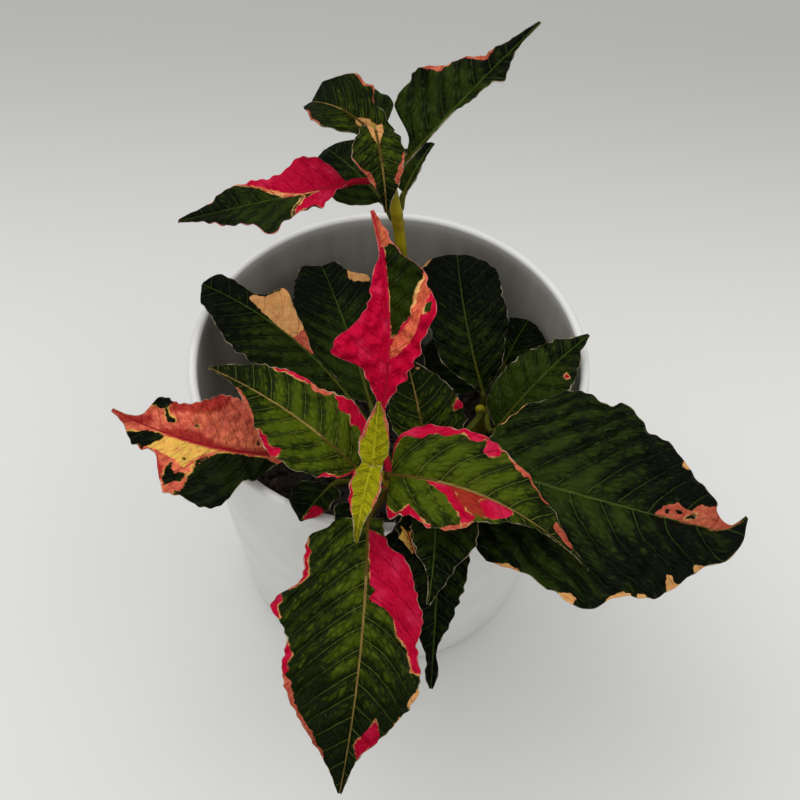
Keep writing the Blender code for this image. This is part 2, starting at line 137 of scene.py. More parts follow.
def lathe(profile, sides):
    """Points and faces of a body turned round Z from (radius, height) pairs that start and end on it."""
    angles = 2 * pi * np.arange(sides) / sides
    rings = [
        np.stack([radius * np.cos(angles), radius * np.sin(angles), np.full(sides, height)], 1)
        for radius, height in profile[1:-1]
    ]
    points = np.concatenate(rings + [[(0, 0, profile[0][1])], [(0, 0, profile[-1][1])]])
    faces = grid_faces(len(rings), sides, closed=True)
    bottom = len(points) - 2
    top_ring = (len(rings) - 1) * sides
    for side in range(sides):
        after = (side + 1) % sides
        faces.append((bottom, after, side))
        faces.append((top_ring + side, top_ring + after, bottom + 1))
    return points, faces


print("mesh tools ready")

# %% [markdown]
# ## Tools for materials
#
# A material is a tree of nodes. Small helpers that add a node and return its output keep each tree
# readable: a sum of plain steps, from noise and attributes to a colour, a roughness and a bump.

# %% Material tools


def colour_material(name, colour, roughness, specular=0.5):
    """A material of one colour, which later steps may vary."""
    made = bpy.data.materials.new(name)
    made.use_nodes = True
    shader = made.node_tree.nodes["Principled BSDF"]
    shader.inputs["Base Color"].default_value = (*colour, 1)
    shader.inputs["Roughness"].default_value = roughness
    shader.inputs["Specular IOR Level"].default_value = specular
    return made


def plug(tree, socket, value):
    """Gives a socket a number or a colour, or joins another node's output to it."""
    if isinstance(value, bpy.types.NodeSocket):
        tree.links.new(value, socket)
    elif isinstance(value, tuple) and len(value) == 3 and socket.type == "RGBA":
        socket.default_value = (*value, 1)
    else:
        socket.default_value = value


def calculate(tree, operation, first, second=0.0, third=0.0, clamp=False):
    made = tree.nodes.new("ShaderNodeMath")
    made.operation = operation
    made.use_clamp = clamp
    for socket, value in zip(made.inputs, (first, second, third)):
        plug(tree, socket, value)
    return made.outputs[0]


def weigh(tree, *parts):
    """A sum of values, each times its weight."""
    total = 0.0
    for value, weight in parts:
        total = calculate(tree, "MULTIPLY_ADD", value, weight, total)
    return total


def blend(tree, share, first, second, kind="MIX"):
    made = tree.nodes.new("ShaderNodeMix")
    made.data_type = "RGBA"
    made.blend_type = kind
    plug(tree, made.inputs["Factor"], share)
    plug(tree, made.inputs["A"], first)
    plug(tree, made.inputs["B"], second)
    return made.outputs["Result"]


def rise(tree, value, low, high, bottom=0.0, top=1.0):
    """A smooth step from bottom, where value is low, to top, where it is high."""
    made = tree.nodes.new("ShaderNodeMapRange")
    made.interpolation_type = "SMOOTHSTEP"
    given = {"Value": value, "From Min": low, "From Max": high, "To Min": bottom, "To Max": top}
    for name, number in given.items():
        plug(tree, made.inputs[name], number)
    return made.outputs["Result"]


def mottle(tree, place, scale, detail=2.0, roughness=0.5):
    made = tree.nodes.new("ShaderNodeTexNoise")
    plug(tree, made.inputs["Vector"], place)
    plug(tree, made.inputs["Scale"], scale)
    plug(tree, made.inputs["Detail"], detail)
    plug(tree, made.inputs["Roughness"], roughness)
    return made.outputs["Fac"]


def wobble(tree, place, scale, detail, roughness, amount):
    """Noise that swings below and above zero, half of amount either way."""
    noise_value = mottle(tree, place, scale, detail, roughness)
    return calculate(tree, "MULTIPLY_ADD", noise_value, amount, -amount / 2)


def stretch(tree, place, amounts):
    made = tree.nodes.new("ShaderNodeVectorMath")
    made.operation = "MULTIPLY"
    plug(tree, made.inputs[0], place)
    plug(tree, made.inputs[1], amounts)
    return made.outputs[0]


def axis_of(tree, place, axis):
    """One of a place's three numbers."""
    made = tree.nodes.new("ShaderNodeSeparateXYZ")
    plug(tree, made.inputs[0], place)
    return made.outputs[axis]


def joined(tree, *numbers):
    """A place from its three numbers."""
    made = tree.nodes.new("ShaderNodeCombineXYZ")
    for socket, number in zip(made.inputs, numbers):
        plug(tree, socket, number)
    return made.outputs[0]


def value_of(tree, name, output="Fac"):
    """What a piece stores on its points by this name: a number, or with Vector a place."""
    made = tree.nodes.new("ShaderNodeAttribute")
    made.attribute_name = name
    return made.outputs[output]


def object_place(tree):
    return tree.nodes.new("ShaderNodeTexCoord").outputs["Object"]


def finish_shader(made, colour, roughness=None, height=None, depth=0.0002, strength=0.5):
    """Joins what varies over a surface to the material's own shader. Depth is the bump's, in metres."""
    tree = made.node_tree
    shader = tree.nodes["Principled BSDF"]
    plug(tree, shader.inputs["Base Color"], colour)
    if roughness is not None:
        plug(tree, shader.inputs["Roughness"], roughness)
    if height is not None:
        bump = tree.nodes.new("ShaderNodeBump")
        bump.inputs["Distance"].default_value = depth
        bump.inputs["Strength"].default_value = strength
        plug(tree, bump.inputs["Height"], height)
        plug(tree, shader.inputs["Normal"], bump.outputs["Normal"])


print("material tools ready")

# %% [markdown]
# ## Floor and light
#
# The plant stands on a plain pale surface in soft studio light. A wide lamp above the left side gives
# the broad sheen on the leaves, and a weaker one at the right lifts the shadows. The rest comes from a
# pale sky. A sky of one brightness would light upright walls as much as level leaves, so this one is
# brighter overhead than at the horizon. Wide lamps keep the pot's shadow faint.

# %% Floor and light
NEAR_FLOOR = (0.75, 0.75, 0.742)
# Painted shade: the floor's colour darkens from near to far, where less light falls.
FAR_FLOOR_SHADE = (0.43, 0.43, 0.42)
FLOOR_SHADE_FADE = (0.02, 0.34)
FLOOR_REACH = 40
FLOOR_DROP = 0.0002
SKY_COLOUR = (1.0, 1.0, 0.98)
SKY_AT_HORIZON = 0.26
SKY_OVERHEAD = 1.1
SKY_CURVE = 1.5
LAMP_AIM = Vector((0, 0, 0.1))
LAMPS = (
    ("lamp_above", (-0.45, 0.25, 1.1), 1.0, 3.6),
    ("lamp_side", (0.75, -0.3, 1.2), 0.9, 2.4),
)
bpy.context.scene.view_settings.view_transform = "Standard"


def floor_material():
    """A matt pale board with painted shade: a little darker towards the back, where less light falls."""
    made = colour_material("pale_floor", NEAR_FLOOR, 0.7)
    tree = made.node_tree
    share = rise(tree, axis_of(tree, object_place(tree), "Y"), *FLOOR_SHADE_FADE)
    finish_shader(made, blend(tree, share, NEAR_FLOOR, FAR_FLOOR_SHADE))
    return made


def make_floor():
    mesh = bpy.data.meshes.new("pale_floor")
    corners = [(FLOOR_REACH * x, FLOOR_REACH * y, 0) for x, y in ((-1, -1), (1, -1), (1, 1), (-1, 1))]
    mesh.from_pydata(corners, [], [(0, 1, 2, 3)])
    mesh.materials.append(floor_material())
    floor = bpy.data.objects.new("pale_floor", mesh)
    bpy.context.scene.collection.objects.link(floor)
    floor.location.z = -FLOOR_DROP


def make_lamps():
    for name, place, size, power in LAMPS:
        data = bpy.data.lights.new(name, "AREA")
        data.shape = "DISK"
        data.size = size
        data.energy = power
        lamp = bpy.data.objects.new(name, data)
        bpy.context.scene.collection.objects.link(lamp)
        lamp.location = place
        lamp.rotation_euler = (LAMP_AIM - Vector(place)).to_track_quat("-Z", "Y").to_euler()


def make_sky():
    sky = bpy.data.worlds.new("pale_sky")
    sky.use_nodes = True
    tree = sky.node_tree
    background = tree.nodes["Background"]
    background.inputs["Color"].default_value = (*SKY_COLOUR, 1)
    direction = tree.nodes.new("ShaderNodeTexCoord").outputs["Generated"]
    steep = calculate(tree, "POWER", axis_of(tree, direction, "Z"), SKY_CURVE, clamp=True)
    rest = SKY_OVERHEAD - SKY_AT_HORIZON
    plug(tree, background.inputs["Strength"], calculate(tree, "MULTIPLY_ADD", steep, rest, SKY_AT_HORIZON))
    bpy.context.scene.world = sky


make_floor()
make_lamps()
make_sky()
print("lamps:", len(LAMPS))

# %% [markdown]
# ## The pot
#
# The pot is a thin moulded cup of satin white plastic, a common nursery pot without rim band or holes
# in sight. It is turned round its axis, as on a lathe, from the wall's outline: flat foot, rounded
# heel, straight taper, rounded lip, inner wall and floor. The mould leaves very shallow rings in the
# wall. The inner wall above the soil is painted a streaky darker grey-brown: painted shade for the
# inside of the pot.

# %% Pot
POT_HEIGHT = 114
RIM_RADIUS = 65
BASE_RADIUS = 54.5
WALL = 3.2
FLOOR = 3
RIM_ROUNDING = 1.5
BASE_ROUNDING = 2.5
POT_SIDES = 192
POT_RINGS = 40
RING_RIPPLE = 0.04
RING_PITCH = 2.4
# Painted shade on the inner wall: how far below the lip it starts, and over how many millimetres it fades
# in.
INSIDE_SHADE_START = 0.9
INSIDE_SHADE_FADE = 5
POT_WHITE = (0.79, 0.79, 0.77)
POT_SHADE = (0.75, 0.74, 0.715)
# Dark and pale colours of the painted shade inside the pot.
INSIDE_SHADE_DARK = (0.27, 0.25, 0.21)
INSIDE_SHADE_PALE = (0.37, 0.35, 0.31)


def corner(middle_radius, middle_height, size, first_angle, last_angle, steps=8):
    """Points of a rounded corner in the (radius, height) plane."""
    points = []
    for step in range(steps + 1):
        angle = radians(first_angle + (last_angle - first_angle) * step / steps)
        points.append((middle_radius + size * cos(angle), middle_height + size * sin(angle)))
    return points


def wall_run(low, high, steps):
    """A straight stretch of wall with the mould's faint rings, ends left out."""
    points = []
    for step in range(1, steps):
        share = step / steps
        radius = low[0] + (high[0] - low[0]) * share + RING_RIPPLE * sin(RING_PITCH * step)
        points.append((radius, low[1] + (high[1] - low[1]) * share))
    return points


def inner_radius(height):
    share = height / POT_HEIGHT
    return BASE_RADIUS + (RIM_RADIUS - BASE_RADIUS) * share - WALL


def pot_profile():
    heel = corner(BASE_RADIUS - BASE_ROUNDING, BASE_ROUNDING, BASE_ROUNDING, -90, 0)
    outer_lip = corner(RIM_RADIUS - RIM_ROUNDING, POT_HEIGHT - RIM_ROUNDING, RIM_ROUNDING, 0, 90)
    inner_lip = corner(RIM_RADIUS - WALL + RIM_ROUNDING, POT_HEIGHT - RIM_ROUNDING, RIM_ROUNDING, 90, 180)
    floor_edge = (inner_radius(FLOOR), FLOOR)
    profile = [(0, 0)] + heel
    profile += wall_run(heel[-1], outer_lip[0], POT_RINGS)
    profile += outer_lip + inner_lip
    profile += wall_run(inner_lip[-1], floor_edge, POT_RINGS)
    return profile + [floor_edge, (0, FLOOR)]


def pot_material():
    made = colour_material("pot_plastic", POT_WHITE, 0.35, specular=0.45)
    tree = made.node_tree
    place = object_place(tree)
    inside = value_of(tree, "inside")
    cloud = mottle(tree, place, 22, 3)
    # Painted shade: the inner wall above the soil is darker grey-brown, in vertical streaks.
    inside_shade = calculate(tree, "MULTIPLY", inside, rise(tree, cloud, 0.2, 0.7, 0.75, 1.0))
    clean = blend(tree, rise(tree, mottle(tree, place, 60, 4), 0.35, 0.75), POT_WHITE, POT_SHADE)
    shade_streaks = mottle(tree, stretch(tree, place, (120, 120, 9)), 1.0, 3)
    streaked_shade = blend(tree, rise(tree, shade_streaks, 0.3, 0.75), INSIDE_SHADE_DARK, INSIDE_SHADE_PALE)
    colour = blend(tree, inside_shade, clean, streaked_shade)
    scuff = mottle(tree, stretch(tree, place, (700, 700, 40)), 1.0, 4)
    roughness = rise(tree, weigh(tree, (scuff, 1), (inside_shade, 0.4)), 0.3, 1.2, 0.34, 0.5)
    finish_shader(made, colour, roughness, mottle(tree, place, 900, 3), 0.00008, 0.25)
    return made


def make_pot():
    points, faces = lathe(pot_profile(), POT_SIDES)
    pot = new_piece("pot_wall", points, faces, pot_material(), "pot", sharp=50)
    reach = np.hypot(points[:, 0], points[:, 1])
    depth = POT_HEIGHT - points[:, 2]
    # Points on the inner wall take the painted shade, fading in from just below the lip.
    within = reach < inner_radius(points[:, 2]) + WALL / 2
    inside = within & (points[:, 2] > FLOOR / 2) & (depth > INSIDE_SHADE_START)
    set_values(pot, "inside", np.clip(depth / INSIDE_SHADE_FADE, 0, 1) * inside)
    return pot


pot = make_pot()
print("pot faces:", len(pot.data.polygons))

# %% [markdown]
# ## The soil
#
# Potting soil is a dark, loose mix of peat crumbs and bits of bark. Particles could scatter crumbs, but
# they don't survive an export, so the crumbs are joined into the soil's own mesh: rough lumps of many
# sizes, partly sunk into an uneven bed that fills the pot up to its hidden floor.

# %% Soil
GAP = 0.3
SOIL_TOP = 55
SOIL_RELIEF = 2.5
SOIL_LUMP = 13
SOIL_SIDES = 150
SOIL_RINGS = 56
CRUMBS = 1100
CRUMB_SIZES = (0.5, 2.6)
CRUMB_SEED = 11
WALL_CLEARANCE = 3.5
BED_SHADE = 0.35


def soil_height(x, y):
    """Height of the bed, as in the solid, with smaller lumps on top."""
    inside = 1 - (np.hypot(x, y) / inner_radius(SOIL_TOP)) ** 2
    broad = noise.noise(Vector((x, y, 0)) / SOIL_LUMP) + inside - 1
    small = noise.noise(Vector((x, y, 7)) / 2.5) * 0.5 + noise.noise(Vector((x, y, 3)) / 0.9) * 0.25
    return SOIL_TOP + SOIL_RELIEF * broad + small * min(1, 8 * inside)


def soil_bed():
    outer = inner_radius(SOIL_TOP) - 2 * GAP
    profile = [(0, FLOOR + GAP), (inner_radius(FLOOR + GAP) - GAP, FLOOR + GAP)]
    for ring in range(SOIL_RINGS):
        profile.append((outer * (1 - ring / SOIL_RINGS), SOIL_TOP))
    points, faces = lathe(profile + [(0, SOIL_TOP)], SOIL_SIDES)
    for point in points:
        if point[2] == SOIL_TOP:
            point[2] = soil_height(point[0], point[1])
    return points, faces


def ball():
    """Points and triangles of an eight-sided ball split twice."""
    points = [Vector(p) for p in ((1, 0, 0), (-1, 0, 0), (0, 1, 0), (0, -1, 0), (0, 0, 1), (0, 0, -1))]
    faces = [(0, 2, 4), (2, 1, 4), (1, 3, 4), (3, 0, 4), (2, 0, 5), (1, 2, 5), (3, 1, 5), (0, 3, 5)]
    for _ in range(2):
        middles = {}
        finer = []
        for a, b, c in faces:
            halves = []
            for pair in ((a, b), (b, c), (c, a)):
                key = tuple(sorted(pair))
                if key not in middles:
                    middles[key] = len(points)
                    points.append((points[pair[0]] + points[pair[1]]).normalized())
                halves.append(middles[key])
            ab, bc, ca = halves
            finer += [(a, ab, ca), (ab, b, bc), (ca, bc, c), (ab, bc, ca)]
        faces = finer
    return np.array(points), np.array(faces)


def crumbs(first):
    """Rough lumps scattered over the bed, as points, faces and a shade for each point."""
    draw = np.random.default_rng(CRUMB_SEED)
    round_lump, triangles = ball()
    most = inner_radius(SOIL_TOP) - WALL_CLEARANCE
    points = []
    faces = []
    shades = []
    for number in range(CRUMBS):
        reach = most * np.sqrt(draw.random())
        angle = 2 * pi * draw.random()
        x = reach * cos(angle)
        y = reach * sin(angle)
        size = CRUMB_SIZES[0] + (CRUMB_SIZES[1] - CRUMB_SIZES[0]) * draw.random() ** 3
        shape = draw.uniform(0.55, 1.2, 3) * size
        waves = draw.normal(0, 2.2, (3, 3))
        rough = 1 + 0.13 * np.sin(round_lump @ waves + draw.uniform(0, 6, 3)).sum(1, keepdims=True)
        turn_angle = 2 * pi * draw.random()
        turn = np.array(Matrix.Rotation(turn_angle, 3, Vector(draw.normal(0, 1, 3)).normalized()))
        lump = (round_lump * rough * shape) @ turn.T
        points.append(lump + (x, y, soil_height(x, y) + 0.25 * size))
        faces.append(triangles + first + number * len(round_lump))
        shades.append(np.full(len(round_lump), draw.random()))
    return np.concatenate(points), np.concatenate(faces).tolist(), np.concatenate(shades)


def soil_material():
    made = colour_material("soil", (0.05, 0.035, 0.025), 0.9)
    tree = made.node_tree
    place = object_place(tree)
    shade = value_of(tree, "shade")
    mixed = weigh(tree, (shade, 0.6), (mottle(tree, place, 900, 4, 0.7), 0.6))
    # Peat colours darker than real peat, near black: dark peat with painted shade for the soil deep under
    # the leaves.
    peat_and_shade = blend(tree, rise(tree, mixed, 0.25, 0.9), (0.006, 0.005, 0.004), (0.036, 0.025, 0.016))
    bark = blend(tree, rise(tree, shade, 0.86, 0.9), peat_and_shade, (0.075, 0.046, 0.024))
    colour = blend(tree, rise(tree, mottle(tree, place, 2600, 2), 0.66, 0.74), bark, (0.10, 0.075, 0.045))
    roughness = rise(tree, mottle(tree, place, 1200, 3), 0.3, 0.7, 0.75, 1.0)
    finish_shader(made, colour, roughness, mottle(tree, place, 1600, 6, 0.75), 0.0006, 0.8)
    return made


def make_soil():
    bed, bed_faces = soil_bed()
    lumps, lump_faces, shades = crumbs(len(bed))
    points = np.concatenate([bed, lumps])
    faces = bed_faces + lump_faces
    soil = new_piece("potting_soil", points, faces, soil_material(), "soil", sharp=60)
    set_values(soil, "shade", np.concatenate([np.full(len(bed), BED_SHADE), shades]))
    return soil


soil = make_soil()
print("soil faces:", len(soil.data.polygons))

# %% [markdown]
# ## The stems
#
# The stems are soft green wood, olive to tan, slightly ribbed along their length. Each leaf sits on a
# node: a small swelling with a ring. The centre line is the smooth curve of the solid model, and rings
# along it swell where a leaf's stalk leaves.

# %% Stem shapes
STEM_FOOT = 40
STEM_THICK = 2.5
STEM_THIN = 1.5
STEM_FINE_SIDES = 32
NODE_SWELLING = 0.3
NODE_LENGTH = 1.6


@dataclass
class Stem:
    """A stem: the points that its centre line passes through, lowest first."""

    name: str
    points: tuple


FRONT = Stem("stem_front", ((9, -38, 58), (8, -43, 85), (4, -50, 112), (-4, -57, 134)))
BACK = Stem("stem_back", ((8, 20, 58), (4, 31, 100), (2, 34, 134), (-7, 38, 176)))
RIGHT = Stem("stem_right", ((33, 10, 58), (33, 5, 74), (31, -4, 92)))
STEMS = (FRONT, BACK, RIGHT)


def stem_centre(stem, height):
    """The stem's centre line at this height, by the polynomial through its points, upright in the soil."""
    level = max(height, stem.points[0][2])
    x = 0
    y = 0
    for px, py, pz in stem.points:
        weight = 1
        for other in stem.points:
            if other[2] != pz:
                weight *= (level - other[2]) / (pz - other[2])
        x += weight * px
        y += weight * py
    return Vector((x, y, height))


def stem_radius(stem, height):
    foot = stem.points[0][2]
    top = stem.points[-1][2]
    share = min(1, max(0, (height - foot) / (top - foot)))
    return STEM_THICK + (STEM_THIN - STEM_THICK) * share


print("stems:", len(STEMS))

# %% [markdown]
# ## Where the leaves are
#
# Each leaf is described the way a florist's wire leaf is made: a stalk from the stem to the blade's
# base, a rib from base to tip that arches up and bends sideways, and two margins, each a few points of
# (distance along the rib, distance out from it). The same numbers give the solid model its leaves, so
# a fine leaf lies where its solid lies.

# %% Leaf table


@dataclass
class Leaf:
    """One leaf. Left and right are as seen from the stem, looking along the leaf.

    The lengths are in millimetres and the folds and rolls in degrees. Bulge and crinkle are heights of
    the relief, veins counts the side veins, tone is how much lighter the leaf is, and sheath is how far
    the blade reaches back over its stalk.
    """

    name: str
    stem: Stem
    height: float
    base: tuple
    tip: tuple
    arch: float
    bend: float
    left: tuple
    right: tuple
    folds: tuple = (10, 10)
    rolls: tuple = (0, 0)
    hook: float = 0
    bow: float = 0.4
    waves: int = 3
    finish: str = "leaf_dark"
    tone: float = 0
    bulge: float = 0.45
    veins: int = 9
    crinkle: float = 0.15
    sheath: float = 0


LEAVES = (
    Leaf("leaf_front_bud_up", FRONT, 132, base=(-3, -54.5, 137.4), tip=(-2, -41, 145), arch=1, bend=0,
         left=((1, 4.5), (3, 5), (8, 3.5), (13, 1.5)), right=((1, 4.5), (3, 5), (8, 4), (13, 2)),
         folds=(25, 25), bow=0, finish="leaf_bud", bulge=0.1, veins=5, sheath=3),
    Leaf("leaf_front_bud_down", FRONT, 132, base=(-4, -61, 136.4), tip=(-7, -76, 125), arch=3, bend=0,
         left=((1, 4.5), (4, 5), (8, 4), (13, 2)), right=((1, 4.5), (4, 5), (8, 4), (13, 2)),
         folds=(25, 25), bow=0, finish="leaf_bud", bulge=0.1, veins=6, sheath=3),
    Leaf("leaf_front_young_left", FRONT, 127, base=(-8, -54, 130), tip=(-51, -34, 149), arch=3, bend=1,
         left=((1, 5), (5, 10), (11, 14), (18, 17), (25, 15), (30, 13), (34, 9), (40, 4), (46, 1)),
         right=((2, 7), (6, 13), (11, 14), (17, 13), (25, 11), (34, 10), (40, 7), (46, 4)), folds=(12, 12),
         waves=4, finish="leaf_green", bulge=0.35),
    Leaf("leaf_front_young_right", FRONT, 127, base=(2, -56, 130), tip=(59, -80, 121), arch=7, bend=-3,
         left=((1, 9), (4, 13), (10, 16), (18, 16), (26, 16), (33, 13), (43, 10), (52, 5), (60, 2)),
         right=((1, 10), (3, 14), (6, 13), (12, 14), (17, 17), (21, 17), (26, 16), (29, 13), (34, 10),
                (42, 5), (52, 2)),
         folds=(18, 14), rolls=(-25, 45), waves=4, finish="leaf_green", bulge=0.35),
    Leaf("leaf_front_pink_up", FRONT, 119, base=(-1, -32, 130), tip=(-6, 6, 174), arch=2, bend=3,
         left=((3, 3), (10, 7), (13, 9), (17, 17), (22, 17), (27, 10), (34, 6), (41, 4), (46, 1)),
         right=((3, 2), (9, 6), (17, 11), (24, 13), (30, 17), (35, 15), (41, 13), (45, 7), (50, 4), (55, 2)),
         folds=(20, 40), rolls=(10, -10), finish="leaf_pink", tone=0.5, bulge=0.2, crinkle=0.5),
    Leaf("leaf_front_hanging", FRONT, 118, base=(-4, -69, 121), tip=(-9, -135, 88), arch=6, bend=-2,
         left=((5, 6), (10, 12), (20, 15), (26, 17), (33, 16), (42, 18), (47, 17), (52, 13), (60, 7),
               (66, 3)),
         right=((1, 12), (3, 16), (10, 18), (17, 19), (24, 26), (31, 22), (36, 21), (43, 21), (50, 19),
                (60, 11), (68, 5)),
         folds=(12, 12), waves=4, finish="leaf_green", tone=-0.3, bulge=0.6, veins=12, crinkle=0.25,
         sheath=3),
    Leaf("leaf_front_orange_left", FRONT, 103, base=(-29, -41, 116), tip=(-80, -40, 135), arch=3, bend=-6,
         left=((6, 4), (11, 8), (16, 10), (21, 18), (26, 19), (31, 17), (35, 18), (38, 12), (41, 7),
               (47, 7), (51, 3)),
         right=((4, 6), (12, 13), (20, 16), (25, 16), (30, 13), (38, 10), (46, 9), (48, 3), (51, 1)),
         folds=(-10, 25), finish="leaf_salmon", bulge=0.25, crinkle=0.3),
    Leaf("leaf_front_green_up", FRONT, 104, base=(13, -34, 109), tip=(5, -6, 124), arch=2, bend=0,
         left=((3, 5), (8, 9), (14, 10), (22, 8), (29, 3)),
         right=((2, 6), (5, 12), (8, 14), (17, 12), (22, 9), (26, 5), (30, 2)), finish="leaf_green",
         tone=-0.45, veins=6),
    Leaf("leaf_front_dark_short", FRONT, 109, base=(15, -52, 115), tip=(14, -89, 114), arch=5, bend=-1,
         left=((4, 7), (10, 12), (22, 12), (27, 8), (33, 4)),
         right=((4, 5), (10, 7), (18, 7), (24, 6), (28, 3), (33, 1)), folds=(15, 15), veins=7),
    Leaf("leaf_front_dark_long", FRONT, 95, base=(17, -66, 116), tip=(16, -103, 88), arch=4, bend=0,
         left=((3, 8), (7, 9), (16, 8), (25, 5), (35, 1), (42, 2)),
         right=((1, 14), (4, 17), (8, 17), (13, 14), (20, 10), (30, 5), (38, 2), (43, 2)),
         tone=-0.5, veins=8, sheath=6),
    Leaf("leaf_front_dark_middle", FRONT, 111, base=(-6, -57, 116), tip=(-9, -72, 118), arch=1, bend=0,
         left=((3, 4), (7, 5), (12, 3)), right=((3, 6), (8, 7), (13, 4)), tone=-0.4, veins=4),
    Leaf("leaf_front_dark_left", FRONT, 107, base=(-16, -49, 112), tip=(-24, -64, 116), arch=1, bend=0,
         left=((3, 5), (9, 5), (14, 4)), right=((3, 5), (8, 8), (14, 6)), tone=-0.3, veins=4),
    Leaf("leaf_front_small_orange", FRONT, 101, base=(5.8, -61, 116), tip=(9.5, -74.5, 117.6), arch=1,
         bend=0, left=((3, 3), (8, 3.5), (11, 2)), right=((3, 3), (8, 3), (11, 2)), finish="leaf_salmon",
         bulge=0.1, veins=4),
    Leaf("leaf_front_over_left_rim", FRONT, 97, base=(-14, -6, 101), tip=(-62, 20, 123), arch=4, bend=2,
         left=((2, 6), (8, 13), (18, 19), (28, 20), (38, 19), (48, 14), (56, 8)),
         right=((16, 1), (24, 5), (31, 9), (37, 12), (40, 7), (46, 5), (52, 6), (57, 5)),
         folds=(15, 15)),
    Leaf("leaf_front_inner_left", FRONT, 90, base=(-6, -5, 95), tip=(-25, 46, 105), arch=4, bend=0,
         left=((4, 9), (12, 14), (20, 16), (36, 16), (46, 13), (54, 9), (57, 5)),
         right=((4, 9), (10, 13), (20, 15), (28, 16), (38, 14), (45, 13), (48, 9), (51, 7), (56, 4))),
    Leaf("leaf_right_large", RIGHT, 92, base=(24, -42, 118), tip=(105, -66, 119), arch=3, bend=3,
         left=((2, 6), (6, 15), (10, 22), (15, 26), (20, 32), (27, 33), (35, 32), (42, 33), (50, 28),
               (58, 25), (64, 19), (70, 15), (77, 8), (81, 1)),
         right=((2, 8), (6, 14), (12, 23), (18, 29), (25, 29), (30, 28), (36, 32), (46, 33), (52, 29),
                (58, 27), (64, 24), (70, 18), (76, 12), (80, 7), (83, 3)),
         folds=(8, -8), hook=-7, bow=0.15, waves=5, bulge=0.8, veins=9, crinkle=0.3),
    Leaf("leaf_right_over_rim", RIGHT, 90, base=(36, -15, 97), tip=(64, 6, 121), arch=3, bend=0,
         left=((3, 7), (6, 9), (12, 11), (20, 10), (26, 9), (33, 6), (38, 3)),
         right=((3, 6), (10, 12), (22, 13), (30, 10), (37, 4)), folds=(12, 12), tone=0.3, veins=8),
    Leaf("leaf_right_inner", RIGHT, 84, base=(32, 4, 91), tip=(22, 46, 113), arch=4, bend=-2,
         left=((5, 5), (12, 11), (22, 13), (30, 16), (40, 15), (46, 11), (49, 4)),
         right=((3, 5), (8, 9), (16, 12), (22, 14), (32, 14), (40, 13), (46, 9), (49, 3)), tone=-0.35),
    Leaf("leaf_right_under", RIGHT, 70, base=(32, 14, 80), tip=(14, 31, 84), arch=2, bend=0,
         left=((2, 8), (6, 12), (12, 14), (20, 9), (24, 4)), right=((3, 8), (9, 12), (16, 11), (22, 6)),
         tone=-0.1, veins=6),
    Leaf("leaf_right_rear", RIGHT, 76, base=(38, 16, 82), tip=(48, 33, 95), arch=3, bend=0,
         left=((3, 9), (9, 15), (16, 14), (21, 8)), right=((3, 9), (7, 13), (13, 15), (19, 11), (23, 5)),
         folds=(12, 12), tone=-0.1, veins=5),
    Leaf("leaf_back_young_left", BACK, 170, base=(-10.7, 38.6, 178), tip=(-26, 45, 180), arch=2, bend=0,
         left=((1, 8), (4, 11), (8, 13), (11, 12), (14, 9), (17, 5)),
         right=((1, 9), (3, 12), (7, 13), (11, 12), (14, 9), (17, 6)),
         folds=(15, 15), bow=0, finish="leaf_green", tone=-0.45, bulge=0.2, veins=5, sheath=8),
    Leaf("leaf_back_young_front", BACK, 170, base=(-6, 34.5, 178), tip=(-2, 17, 162), arch=4, bend=0,
         left=((1, 5), (4, 7), (9, 7), (16, 5), (22, 2)), right=((1, 6), (5, 9), (10, 9), (13, 6), (18, 3)),
         folds=(20, 20), bow=0.1, finish="leaf_green", tone=-0.4, bulge=0.2, veins=6,
         sheath=2),
    Leaf("leaf_back_young_rear", BACK, 170, base=(-4, 44, 172), tip=(-19, 60, 176), arch=2, bend=0,
         left=((3, 7), (8, 9), (16, 7), (20, 3)),
         right=((3, 6), (6, 7), (13, 5), (19, 2)), veins=5),
    Leaf("leaf_back_long_right", BACK, 158, base=(2, 32, 167), tip=(41, 54, 205), arch=1, bend=0,
         left=((4, 2), (8, 5), (11, 14), (15, 16), (23, 17), (30, 12), (36, 9), (40, 5), (45, 4), (52, 2)),
         right=((10, 1), (22, 1), (30, 4), (37, 5), (41, 8), (44, 5), (48, 3), (52, 1)), folds=(20, 20),
         waves=4),
    Leaf("leaf_back_long_left", BACK, 158, base=(-15, 30, 161), tip=(-67, 22, 150), arch=4, bend=-4,
         left=((3, 3), (7, 6), (10, 10), (13, 9), (18, 12), (25, 17), (29, 12), (35, 9), (42, 5), (50, 2)),
         right=((2, 6), (6, 12), (12, 12), (18, 9), (24, 8), (30, 8), (36, 8), (43, 4), (50, 2)),
         folds=(12, 12), waves=4, finish="leaf_pink", crinkle=0.25),
    Leaf("leaf_back_low_left", BACK, 140, base=(-4, 40, 144), tip=(-23, 58, 149), arch=2, bend=0,
         left=((2, 8), (8, 15), (16, 15), (24, 8)), right=((3, 8), (8, 11), (13, 12), (20, 10), (25, 5)),
         veins=6),
    Leaf("leaf_back_low_right", BACK, 144, base=(3, 40, 148), tip=(12, 57, 154), arch=2, bend=0,
         left=((3, 7), (10, 8), (16, 4)), right=((5, 2), (15, 1)), veins=5),
)
print("leaves:", len(LEAVES))
